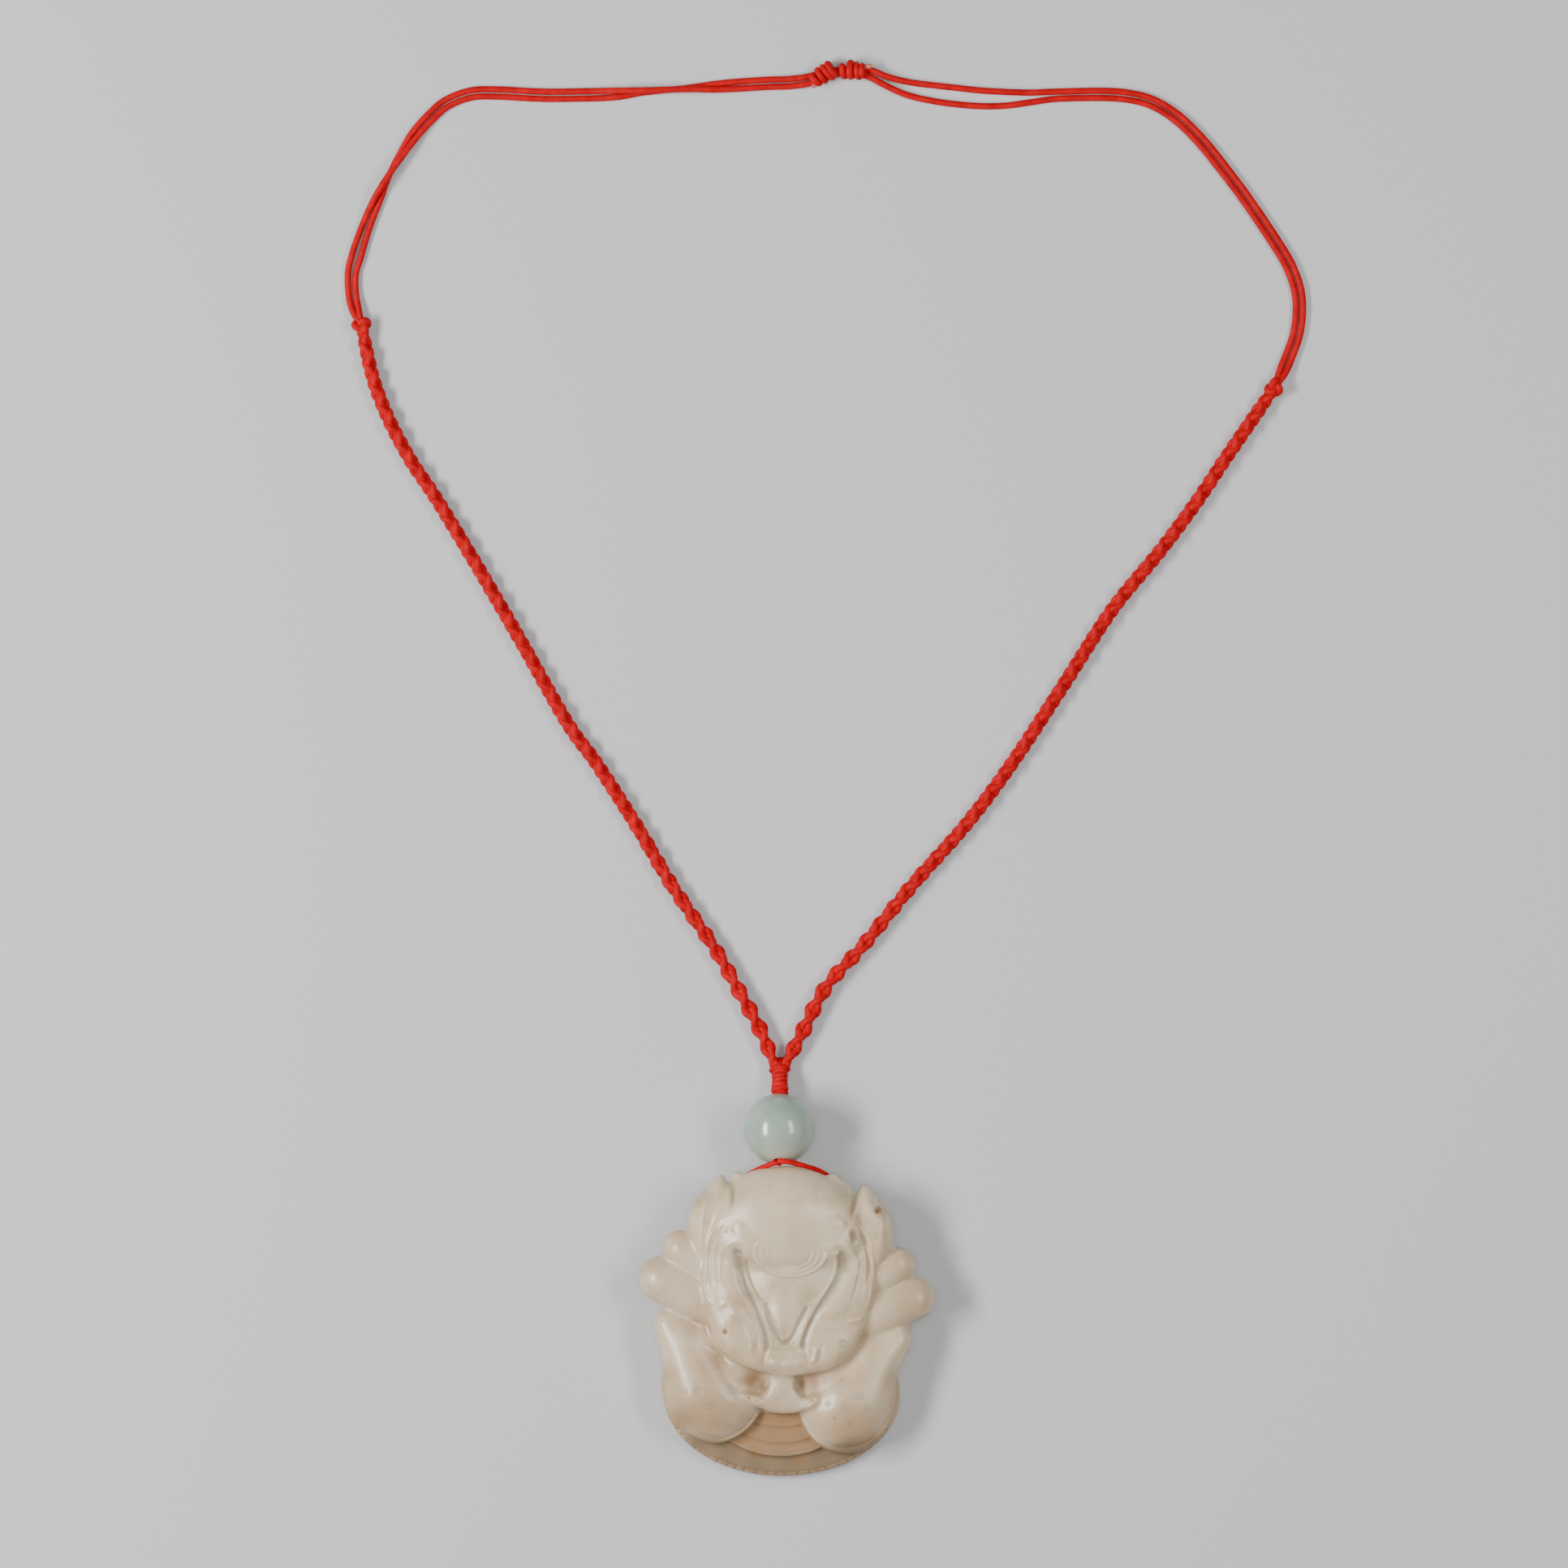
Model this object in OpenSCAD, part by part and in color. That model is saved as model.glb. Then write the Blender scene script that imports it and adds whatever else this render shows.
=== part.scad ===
// Carved jade pendant on an adjustable red cord, laid flat as it rests on a table.
// Millimetres. The origin is the centre of the carving's flat back, +Z is up off the table and +Y
// runs from the carving to the sliding knots at the nape.

/* [Carving] */
// Width of the carving over its side knuckles
jade_w = 66.8; // [50:0.2:84]
// Length of the carving from brow to lower rim
jade_l = 70.4; // [54:0.2:88]
// Thickness of the carving at the brow
jade_t = 20; // [16:0.5:26]
// Diameter of the tunnel that carries the hanging loop
tunnel_d = 2.2; // [1.8:0.1:3]
// Sides of the large rounded forms
form_sides = 18; // [16:2:28]
// Sides of the small rounded forms
small_sides = 12; // [12:2:20]

/* [Bead] */
// Diameter of the round bead
bead_d = 16; // [12:0.5:20]
// Diameter of the bead's drilled hole
bead_hole_d = 3.2; // [2.8:0.1:4]
// Slope of the bead's hole, which falls from the carving to the braid
bead_slope = 27; // [18:1:34]

/* [Cords] */
// Diameter of the plain cord at the sides and nape
cord_d = 1.46; // [1:0.02:1.6]
// Diameter of the thinner cord of the hanging loop
loop_d = 1.2; // [0.8:0.05:1.3]
// Diameter of the braid over its crests
braid_d = 3.5; // [3:0.1:4]
// Length of braid from one crossing of its face to the next
braid_pitch = 4.85; // [4:0.05:6]
// Turn of the braid about its own axis from end to end, in degrees
braid_twist = 90; // [0:5:180]

/* [Knots] */
// Diameter of the cord turns that bind the two braids above the bead
wrap_d = 3.9; // [3.4:0.1:4.6]
// Number of binding turns
wrap_turns = 5; // [3:1:6]
// Diameter of the knots that end the braids
end_knot_d = 4.2; // [3.6:0.1:5]
// Diameter of the two sliding knots
slide_knot_d = 4.1; // [3.6:0.1:5]
// Length of each sliding knot
slide_knot_l = 5.9; // [5:0.1:7]

/* [Hidden] */

// Clear space between two pieces that touch on the real object, and between the cords of a pair
gap = 0.12;
pair_gap = 0.18;
jade_colour = [0.80, 0.77, 0.70];
bead_colour = [0.66, 0.77, 0.71];
cord_colour = [0.82, 0.04, 0.06];

// Columns of the tables of carved forms
X = 0;
Y = 1;
R = 2;
MID = 3;
HALF = 4;

// Each form is a row of rounded ends, joined one to the next. An end is [x, y, radius, middle height,
// half height]: x and radius are shares of jade_w, y of jade_l, and both heights of jade_t.
MAIN_FORMS = [
    // flat-backed body
    [[-0.008, -0.030, 0.375, 0.13, 0.38], [0.002, 0.100, 0.330, 0.18, 0.42]],
    // face
    [[0.008, 0.190, 0.270, 0.48, 0.36], [0.006, 0.000, 0.205, 0.44, 0.33]],
    // brow, from ear to ear
    [
        [-0.090, 0.281, 0.190, 0.50, 0.41], [0.010, 0.325, 0.180, 0.54, 0.46],
        [0.115, 0.281, 0.190, 0.50, 0.41]
    ],
    // cheeks
    [[-0.192, 0.150, 0.087, 0.56, 0.31], [-0.160, -0.030, 0.095, 0.52, 0.29]],
    [[0.212, 0.150, 0.087, 0.56, 0.31], [0.160, -0.045, 0.100, 0.52, 0.29]],
    // claws: palm, wrist
    [[-0.258, -0.236, 0.162, 0.30, 0.38], [-0.350, -0.085, 0.064, 0.36, 0.25]],
    [[0.209, -0.267, 0.163, 0.30, 0.38], [0.312, -0.120, 0.064, 0.36, 0.25]],
    // claw roots behind the chin
    [[-0.258, -0.236, 0.120, 0.32, 0.30], [-0.110, -0.130, 0.110, 0.32, 0.24]],
    [[0.209, -0.267, 0.120, 0.32, 0.30], [0.110, -0.130, 0.110, 0.32, 0.24]],
];

SMALL_FORMS = [
    // ears: tip, bend, lobe
    [
        [-0.219, 0.456, 0.013, 0.46, 0.08], [-0.246, 0.345, 0.082, 0.46, 0.30],
        [-0.262, 0.220, 0.070, 0.46, 0.32]
    ],
    [
        [0.264, 0.423, 0.013, 0.46, 0.08], [0.278, 0.310, 0.080, 0.46, 0.30],
        [0.280, 0.190, 0.076, 0.46, 0.32]
    ],
    // side knuckles
    [[-0.355, 0.238, 0.060, 0.40, 0.24], [-0.270, 0.150, 0.050, 0.40, 0.24]],
    [[-0.421, 0.137, 0.078, 0.36, 0.25], [-0.330, 0.070, 0.068, 0.36, 0.25]],
    [[0.375, 0.184, 0.062, 0.40, 0.24], [0.300, 0.100, 0.050, 0.40, 0.24]],
    [[0.427, 0.074, 0.073, 0.36, 0.25], [0.330, 0.010, 0.066, 0.36, 0.25]],
    // claw knuckles
    [[-0.350, -0.085, 0.054, 0.36, 0.22], [-0.414, 0.010, 0.034, 0.36, 0.15]],
    [[0.312, -0.120, 0.054, 0.36, 0.22], [0.388, -0.050, 0.036, 0.36, 0.15]],
    // nose ridge
    [[0.008, 0.160, 0.110, 0.62, 0.22], [0.004, -0.050, 0.030, 0.60, 0.17]],
    // chin
    [[-0.060, -0.116, 0.046, 0.48, 0.26], [0.080, -0.116, 0.046, 0.48, 0.26]],
    // snout with its two eye stalks
    [[-0.008, -0.160, 0.040, 0.34, 0.24], [-0.008, -0.235, 0.062, 0.32, 0.22]],
    [[-0.008, -0.235, 0.040, 0.34, 0.22], [-0.118, -0.232, 0.022, 0.50, 0.16]],
    [[-0.008, -0.235, 0.040, 0.34, 0.22], [0.096, -0.240, 0.022, 0.50, 0.16]],
    // lugs over the tunnel's mouths
    [[-0.163, 0.462, 0.016, 0.52, 0.06], [-0.120, 0.400, 0.050, 0.52, 0.20]],
    [[0.162, 0.458, 0.016, 0.52, 0.06], [0.130, 0.400, 0.050, 0.52, 0.20]],
    [[0.210, 0.420, 0.016, 0.50, 0.06], [0.150, 0.360, 0.050, 0.52, 0.20]],
];

// The slots beside the nose, cut into the face. Their rows read as the forms' do.
SLOTS = [
    [
        [-0.163, 0.225, 0.016, 0.90, 0.22], [-0.122, 0.100, 0.013, 0.90, 0.26],
        [-0.075, 0.013, 0.011, 0.84, 0.24], [-0.026, -0.050, 0.009, 0.80, 0.20]
    ],
    [
        [0.187, 0.217, 0.016, 0.90, 0.22], [0.160, 0.120, 0.013, 0.90, 0.26],
        [0.106, 0.040, 0.011, 0.84, 0.24], [0.046, -0.044, 0.009, 0.80, 0.20]
    ],
];

// Steps of the fan-shaped lower rim, from the outer edge in. Each is [x, y, x radius, y radius,
// height], as shares of jade_w, jade_l, jade_w, jade_l and jade_t.
RIM_STEPS = [
    [-0.014, -0.239, 0.402, 0.261, 0.24],
    [-0.018, -0.226, 0.262, 0.203, 0.34],
    [-0.018, -0.226, 0.214, 0.156, 0.40],
    [-0.018, -0.226, 0.170, 0.105, 0.46],
];
// Number of notches filed in the rim's lower edge, and the arc that they cover
rim_notches = 22;
rim_notch_arc = 100;
rim_notch_w = 0.5;
rim_notch_depth = 0.7;

// Tunnel that the hanging loop runs through: its share of jade_l and of jade_t
tunnel_at = [0.420, 0.30];
tunnel_y = tunnel_at[0] * jade_l;
tunnel_z = tunnel_at[1] * jade_t;
brow_crown = MAIN_FORMS[2][1];
brow_x = brow_crown[X] * jade_w;
brow_y = brow_crown[Y] * jade_l + brow_crown[R] * jade_w;

// The bead stands on the table just clear of the brow, and its hole slopes down to the braid
bead_x = -1.5;
bead_brow_gap = 0.75;
bead_r = bead_d / 2;
bead_centre = [bead_x, brow_y + bead_brow_gap + bead_r, bead_r];
// Direction of the hole from the carving towards the braid
hole_way = [0, cos(bead_slope), -sin(bead_slope)];
hole_low = bead_centre + bead_r * hole_way;
hole_high = bead_centre - bead_r * hole_way;

// Binding turns: from the bead's low mouth to the foot of the braids
wrap_cord_r = 0.68;
wrap_step = 1.24;
wrap_gap = 0.3;
wrap_l = (wrap_turns - 1) * wrap_step + 2 * wrap_cord_r;
wrap_r = wrap_d / 2;
wrap_foot = hole_low + [0, wrap_gap, 0];
wrap_slope = asin(min(0.6, max(-0.2, (hole_low[2] - wrap_r) / wrap_l)));
wrap_way = [0, cos(wrap_slope), -sin(wrap_slope)];
wrap_head = wrap_foot + wrap_l * wrap_way;
// Ribs of cord that lead from the binding turns into the braids
rib_r = 0.6;
rib_step = 1.15;
rib_l = 2;

// Strands of the braids. Four strands run in two pairs that wind opposite ways, and each passes
// over one and under the next, on a round of radius over_r or under_r.
strand_sides = 5;
strand_thick = 0.213 * braid_d;
strand_wide = 0.335 * braid_d;
over_r = (braid_d - strand_thick) / 2;
under_r = 0.145 * braid_d;
// Half the arc, in degrees, that a strand keeps level over or under a crossing
level_arc = 18;
braid_z = braid_d / 2 + 0.02;
// The braid narrows over this length at each end, to this share of its size
braid_taper_l = 5;
braid_taper = 0.74;

// Every route lies on the table, and its y counts from the head of the binding turns

// Routes of the braids, from the binding turns out to the end knots, as points [x, y]
LEFT_BRAID = [
    [-3.3, 2.3], [-6.1, 9], [-11.3, 18.5], [-16.5, 27.5], [-26, 41.5], [-34, 55], [-43, 69], [-49.5, 78],
    [-60, 96.5], [-70.5, 114.5], [-79, 128.5], [-85, 137.5], [-90, 147], [-93.4, 156], [-95.5, 165.6]
];
RIGHT_BRAID = [
    [0.5, 2.3], [4, 9], [9, 18.5], [17.5, 28], [28.5, 41.5], [40.5, 55], [51, 69], [62.5, 86.5],
    [73.5, 103.5], [84.5, 117], [93, 128.5], [99, 137.5], [104.5, 145.5], [109, 152]
];
// How far the middle of an end knot is past the end of its braid
knot_reach = end_knot_d / 2 - 0.1;

// Routes of the two pairs of plain cords, from the end knots to the sliding knots. Each point is
// [x, y, turn, apart, lift]: the cords of a pair lie side by side at a turn of 0 or 180 degrees and
// cross, one on the other, at 90 and 270. apart is their spacing as a multiple of the closest, and
// lift is how far the lower one is off the table.
LEFT_PAIR = [
    [-96.3, 169.5, 0, 1, 1.2], [-97.8, 173.2, 0, 1, 0.2], [-98.2, 179, 0, 1.1, 0], [-97.1, 183.5, 0, 1.3, 0],
    [-95.7, 188, 0, 1.15, 0], [-94, 192.5, 10, 1, 0], [-92, 197, 45, 1, 0], [-89.7, 201.7, 90, 1, 0],
    [-87, 206.2, 120, 1, 0], [-83.8, 211, 160, 1, 0], [-80, 215.2, 180, 1, 0], [-76.6, 218, 180, 1, 0],
    [-71.2, 220, 180, 1, 0], [-65, 220.2, 180, 1, 0], [-55, 219.7, 180, 1, 0], [-44, 219.8, 185, 1, 0],
    [-38, 220, 215, 1, 0], [-32.5, 220.5, 255, 1, 0], [-22, 221.2, 285, 1, 0], [-16, 221.6, 325, 1, 0],
    [-10.5, 222, 350, 1, 0], [-4, 222.4, 360, 1, 0.1], [0.5, 222.5, 360, 1, 0.5], [5.1, 223, 360, 1, 0.9]
];
RIGHT_PAIR = [
    [111.2, 155.5, 0, 1, 1.2], [113, 159.6, 0, 1, 0.2], [115, 165, 0, 1, 0], [115.8, 170, 0, 1, 0],
    [115.6, 175, 0, 1, 0], [114.3, 179.4, 0, 1, 0], [112, 184, 0, 1, 0], [104.7, 195, 0, 1, 0],
    [99, 202.7, 0, 1, 0], [93.5, 209.5, 0, 1, 0], [88, 214.8, 0, 1, 0], [82.5, 218.1, 0, 1, 0],
    [77, 219.5, 0, 1, 0], [71, 219.9, 0, 1, 0], [61, 219.7, 0, 1, 0], [55, 219.2, 0, 1.35, 0],
    [49.5, 218.9, 0, 1.9, 0], [44, 219, 0, 2.15, 0], [38.5, 219.5, 0, 2.25, 0], [33, 220.2, 0, 2.15, 0],
    [27.5, 221.2, 0, 1.8, 0.1], [22.5, 222.9, 0, 1.2, 0.6], [19, 224.7, 0, 1, 0.9]
];
cord_sides = 8;
cord_rings = 20;
loop_rings = 36;

// The way that each sliding knot lies on the table, in degrees, and its space to its pair of cords
left_slide_turn = 24;
right_slide_turn = -8;
slide_gap = 0.8;
slide_turns = 3;
// Melted stub where a cord was cut off at a sliding knot
stub_r = 0.55;
stub_l = 0.9;

// Points per span when a route is drawn as a smooth curve
span_points = 8;

// Smooth curve through the points, after Catmull and Rom
function curve_point(a, b, c, d, t) =
    0.5 * ((2 * b) + (c - a) * t + (2 * a - 5 * b + 4 * c - d) * t * t + (3 * b - a - 3 * c + d) * t * t * t);

function smooth_curve(points) = let(last = len(points) - 1) [
    for (i = [0 : last - 1], k = [0 : span_points - 1])
        curve_point(
            points[max(i - 1, 0)], points[i], points[i + 1], points[min(i + 2, last)], k / span_points
        ),
    points[last]
];

// Distance run at each point of a curve
function run_lengths(line) = [
    for (i = 0, run = 0; i < len(line); i = i + 1,
        run = i < len(line) ? run + norm(line[i] - line[i - 1]) : run) run
];

// A route that can be read at any distance: [total length, one table for each column of its points]
function route(points) = let(
    line = smooth_curve(points),
    run = run_lengths([for (p = line) [p[0], p[1], len(p) == 3 ? p[2] : 0]])
) [
    run[len(run) - 1],
    [for (axis = [0 : len(points[0]) - 1]) [for (i = [0 : len(line) - 1]) [run[i], line[i][axis]]]]
];

function route_length(r) = r[0];
function route_at(r, s) = [for (axis = [0 : 2]) lookup(s, r[1][axis])];
function column_at(r, s, column) = lookup(s, r[1][column]);
function unit(v) = v / norm(v);
function route_way(r, s) = let(step = 0.05) unit(
    route_at(r, min(s + step, r[0])) - route_at(r, max(s - step, 0))
);
// Sideways and upward directions square to a route that never stands upright
function side_of(way) = unit(cross([0, 0, 1], way));
function up_of(way) = cross(way, side_of(way));

// Closed tube from rings of points that all have the same count
module tube_through(rings) {
    n = len(rings[0]);
    last = len(rings) - 1;
    points = [for (ring = rings) each ring];
    walls = [
        for (i = [0 : last - 1], k = [0 : n - 1])
            let(a = i * n + k, b = i * n + (k + 1) % n)
                each [[a, a + n, b + n], [a, b + n, b]]
    ];
    caps = [
        for (k = [1 : n - 2]) each [[0, k, k + 1], [last * n, last * n + k + 1, last * n + k]]
    ];
    polyhedron(points = points, faces = concat(walls, caps));
}

// Ring of a round cord, across its way
function cord_ring(at, way, radius, sides) = [
    for (k = [0 : sides - 1]) let(a = 360 * k / sides)
        at + radius * (cos(a) * side_of(way) + sin(a) * up_of(way))
];

// What lies past the binding turns is placed from their head
module from_binding() {
    translate([0, wrap_head[1], 0]) children();
}

module cord_along(points, diameter, rings) {
    r = route(points);
    tube_through([
        for (i = [0 : rings - 1]) let(s = route_length(r) * i / (rings - 1))
            cord_ring(route_at(r, s), route_way(r, s), diameter / 2, cord_sides)
    ]);
}

// One rounded end of a carved form
module rounded_end(end, sides) {
    radius = end[R] * jade_w;
    translate([end[X] * jade_w, end[Y] * jade_l, end[MID] * jade_t])
        scale([1, 1, end[HALF] * jade_t / radius])
            sphere(r = radius, $fn = sides);
}

module form(ends, sides) {
    for (i = [0 : len(ends) - 2])
        hull() {
            rounded_end(ends[i], sides);
            rounded_end(ends[i + 1], sides);
        }
}

module rim_step(row, sides) {
    translate([row[0] * jade_w, row[1] * jade_l, 0])
        scale([row[2] * jade_w, row[3] * jade_l, 1])
            cylinder(r1 = 0.97, r2 = 1, h = row[4] * jade_t, $fn = sides);
}

module rim_notch(angle) {
    row = RIM_STEPS[0];
    edge = [(row[0] + row[2] * cos(angle)) * jade_w, (row[1] + row[3] * sin(angle)) * jade_l];
    translate([edge[0], edge[1], row[4] * jade_t])
        rotate([0, 0, angle])
            cube([2 * rim_notch_depth, rim_notch_w, 2 * rim_notch_depth], center = true);
}

module jade_carving() {
    color(jade_colour)
        intersection() {
            difference() {
                union() {
                    for (ends = MAIN_FORMS) form(ends, form_sides);
                    for (ends = SMALL_FORMS) form(ends, small_sides);
                    for (row = RIM_STEPS) rim_step(row, 2 * form_sides);
                }
                for (ends = SLOTS) form(ends, small_sides / 2);
                translate([brow_x - jade_w / 2, tunnel_y, tunnel_z])
                    rotate([0, 90, 0])
                        cylinder(d = tunnel_d, h = jade_w, $fn = small_sides);
                for (i = [0 : rim_notches - 1])
                    rim_notch(270 + rim_notch_arc * (i / (rim_notches - 1) - 0.5));
            }
            // the back is ground flat
            translate([-jade_w, -jade_l, 0])
                cube([2 * jade_w, 2 * jade_l, 2 * jade_t]);
        }
}

module jade_bead() {
    color(bead_colour)
        translate(bead_centre)
            rotate([-90 - bead_slope, 0, 0])
                difference() {
                    sphere(d = bead_d, $fn = 64);
                    cylinder(d = bead_hole_d, h = 2 * bead_d, center = true, $fn = 32);
                }
}

// The loop leaves the binding turns, runs through the bead, round the brow, through the tunnel and back
loop_apart = loop_d / 2 + gap / 2;
loop_middle_x = (bead_x + brow_x) / 2 + 0.3;
loop_low = wrap_foot - gap * wrap_way;
loop_inside = hole_high + 0.3 * hole_way;
loop_high = hole_high - 0.8 * hole_way;

function loop_side(sign) = [
    [bead_x + sign * loop_apart, loop_low[1], loop_low[2]],
    [bead_x + sign * loop_apart, bead_centre[1], bead_centre[2]],
    [bead_x + sign * loop_apart, loop_inside[1], loop_inside[2]],
    [bead_x + sign * loop_apart, loop_high[1], loop_high[2]],
    [loop_middle_x + sign * 0.048 * jade_w, brow_y + 0.65, loop_high[2] - 0.9],
    [brow_x + sign * 0.085 * jade_w, brow_y + 0.45, loop_high[2] - 1.7],
    [brow_x + sign * 0.145 * jade_w, brow_y - 1.3, tunnel_z + 3],
    [brow_x + sign * 0.187 * jade_w, tunnel_y + 1.8, tunnel_z + 0.9],
    [brow_x + sign * 0.192 * jade_w, tunnel_y + 0.1, tunnel_z],
    [brow_x + sign * 0.159 * jade_w, tunnel_y, tunnel_z],
    [brow_x + sign * 0.105 * jade_w, tunnel_y, tunnel_z]
];

function backwards(list) = [for (i = [len(list) - 1 : -1 : 0]) list[i]];

module hanging_loop() {
    color(cord_colour)
        cord_along(concat(loop_side(-1), backwards(loop_side(1))), loop_d, loop_rings);
}

module cord_turn(turn_r, cord_r) {
    rotate_extrude($fn = 48)
        translate([turn_r, 0])
            circle(r = cord_r, $fn = 24);
}

module binding_turns() {
    color(cord_colour)
        translate(wrap_foot)
            rotate([-90 - wrap_slope, 0, 0]) {
                cylinder(r = wrap_r - wrap_cord_r, h = wrap_l, $fn = 48);
                for (i = [0 : wrap_turns - 1])
                    translate([0, 0, wrap_cord_r + i * wrap_step])
                        cord_turn(wrap_r - wrap_cord_r, wrap_cord_r);
                for (side = [-1, 0, 1])
                    translate([side * rib_step, 0, wrap_l - wrap_cord_r])
                        cylinder(r = rib_r, h = rib_l + wrap_cord_r, $fn = 24);
            }
}

// How much the braid is narrowed at distance s along a route of this length
function taper_at(s, length) = let(t = min(1, min(s, length - s) / braid_taper_l))
    braid_taper + (1 - braid_taper) * t * (2 - t);

// Ring of a strand near a crossing. Strands 0 and 1 wind one way, and 2 and 3 the other.
// crossing counts quarter turns, and arc is how many degrees past the crossing the ring stands.
function strand_over(strand, crossing) = (crossing + (strand < 2 ? 0 : 1)) % 2 == 0;

function strand_ring(r, strand, crossing, arc, quarter) = let(
    s = (crossing + arc / 90) * quarter,
    size = taper_at(s, r[0]),
    radius = size * (strand_over(strand, crossing) ? over_r / cos(level_arc) : under_r),
    wind = (strand < 2 ? 1 : -1) * (crossing * 90 + arc) + 180 * (strand % 2),
    angle = 90 + wind + braid_twist * s / r[0],
    way = route_way(r, s),
    side = side_of(way),
    up = up_of(way)
) [
    for (k = [0 : strand_sides - 1]) let(
        a = 360 * k / strand_sides - angle,
        out = radius + size * cos(a) * strand_thick / 2,
        along = size * sin(a) * strand_wide / 2
    )
        route_at(r, s) + (out * cos(angle) - along * sin(angle)) * side
            + (out * sin(angle) + along * cos(angle)) * up
];

module braid_strand(points, strand) {
    r = route([for (p = points) [p[0], p[1], braid_z]]);
    crossings = round(2 * r[0] / braid_pitch);
    quarter = r[0] / crossings;
    color(cord_colour)
        from_binding()
            tube_through([
                for (c = [0 : crossings], arc = strand_over(strand, c) ? [-level_arc, level_arc] : [0])
                    if (c * 90 + arc >= 0 && c * 90 + arc <= crossings * 90)
                        strand_ring(r, strand, c, arc, quarter)
            ]);
}

function last_of(list) = list[len(list) - 1];

// Overhand knot drawn tight past the end of a braid: crossed turns of cord round a core
module end_knot(braid, turn) {
    at = last_of(braid) + knot_reach * unit(last_of(braid) - braid[len(braid) - 2]);
    turn_r = (end_knot_d - cord_d) / 2;
    color(cord_colour)
        from_binding()
            translate([at[0], at[1], end_knot_d / 2])
                rotate([0, 0, turn]) {
                    sphere(r = turn_r + 0.25 * cord_d, $fn = 32);
                    rotate([0, 62, 0]) cord_turn(turn_r, cord_d / 2);
                    rotate([0, 118, 0]) cord_turn(turn_r, cord_d / 2);
                }
}

// Barrel knot that slides: turns of cord side by side round a core. It lies past the end of its
// pair of cords, to the right where sign is 1, with a cut stub of cord at the end near the pair.
module sliding_knot(pair, turn, sign) {
    reach = sign * (slide_knot_l / 2 + slide_gap);
    at = [last_of(pair)[0], last_of(pair)[1]] + reach * [cos(turn), sin(turn)];
    turn_r = (slide_knot_d - cord_d) / 2;
    step = (slide_knot_l - cord_d) / (slide_turns - 1);
    color(cord_colour)
        from_binding()
            translate([at[0], at[1], slide_knot_d / 2])
                rotate([0, 0, turn])
                    rotate([0, 90, 0]) {
                        translate([0, 0, -slide_knot_l / 2])
                            cylinder(r = turn_r + 0.1 * cord_d, h = slide_knot_l, $fn = 48);
                        for (i = [0 : slide_turns - 1])
                            translate([0, 0, (i - (slide_turns - 1) / 2) * step])
                                cord_turn(turn_r, cord_d / 2);
                        translate([0, -sign * turn_r, -sign * slide_knot_l / 2 - stub_l])
                            cylinder(r = stub_r, h = 2 * stub_l, $fn = 24);
                    }
}

// Centre of one cord of a pair at distance s. which is 1 for the one on the left of the
// way the route runs and -1 for the other.
function pair_point(r, s, which) = let(
    at = [column_at(r, s, 0), column_at(r, s, 1)],
    ahead = [column_at(r, min(s + 0.1, r[0]), 0), column_at(r, min(s + 0.1, r[0]), 1)],
    behind = [column_at(r, max(s - 0.1, 0), 0), column_at(r, max(s - 0.1, 0), 1)],
    way = unit(ahead - behind),
    turn = column_at(r, s, 2),
    half = (cord_d + pair_gap) / 2,
    aside = which * half * column_at(r, s, 3) * cos(turn),
    rise = half * (abs(sin(turn)) + which * sin(turn))
) [at[0] + aside * -way[1], at[1] + aside * way[0], cord_d / 2 + column_at(r, s, 4) + rise];

module plain_cord(pair, which) {
    r = route(pair);
    step = r[0] / (cord_rings - 1);
    line = [for (i = [0 : cord_rings - 1]) pair_point(r, i * step, which)];
    color(cord_colour)
        from_binding()
            tube_through([
                for (i = [0 : cord_rings - 1])
                    let(way = unit(line[min(i + 1, cord_rings - 1)] - line[max(i - 1, 0)]))
                        cord_ring(line[i], way, cord_d / 2, cord_sides)
            ]);
}

jade_carving();
jade_bead();
hanging_loop();
binding_turns();
braid_strand(LEFT_BRAID, 0);  // left_braid_strand_1
braid_strand(LEFT_BRAID, 1);  // left_braid_strand_2
braid_strand(LEFT_BRAID, 2);  // left_braid_strand_3
braid_strand(LEFT_BRAID, 3);  // left_braid_strand_4
braid_strand(RIGHT_BRAID, 0);  // right_braid_strand_1
braid_strand(RIGHT_BRAID, 1);  // right_braid_strand_2
braid_strand(RIGHT_BRAID, 2);  // right_braid_strand_3
braid_strand(RIGHT_BRAID, 3);  // right_braid_strand_4
end_knot(LEFT_BRAID, 100);  // left_end_knot
end_knot(RIGHT_BRAID, 55);  // right_end_knot
plain_cord(LEFT_PAIR, 1);  // left_cord_outer
plain_cord(LEFT_PAIR, -1);  // left_cord_inner
plain_cord(RIGHT_PAIR, -1);  // right_cord_outer
plain_cord(RIGHT_PAIR, 1);  // right_cord_inner
sliding_knot(LEFT_PAIR, left_slide_turn, 1);  // left_sliding_knot
sliding_knot(RIGHT_PAIR, right_slide_turn, -1);  // right_sliding_knot
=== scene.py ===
# Carved jade pendant on an adjustable red cord, laid flat. Shapes are drawn in millimetres and
# brought to metres when a piece is finished.
import math

import bmesh
import bpy
import numpy as np
from mathutils import Matrix, Vector


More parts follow.
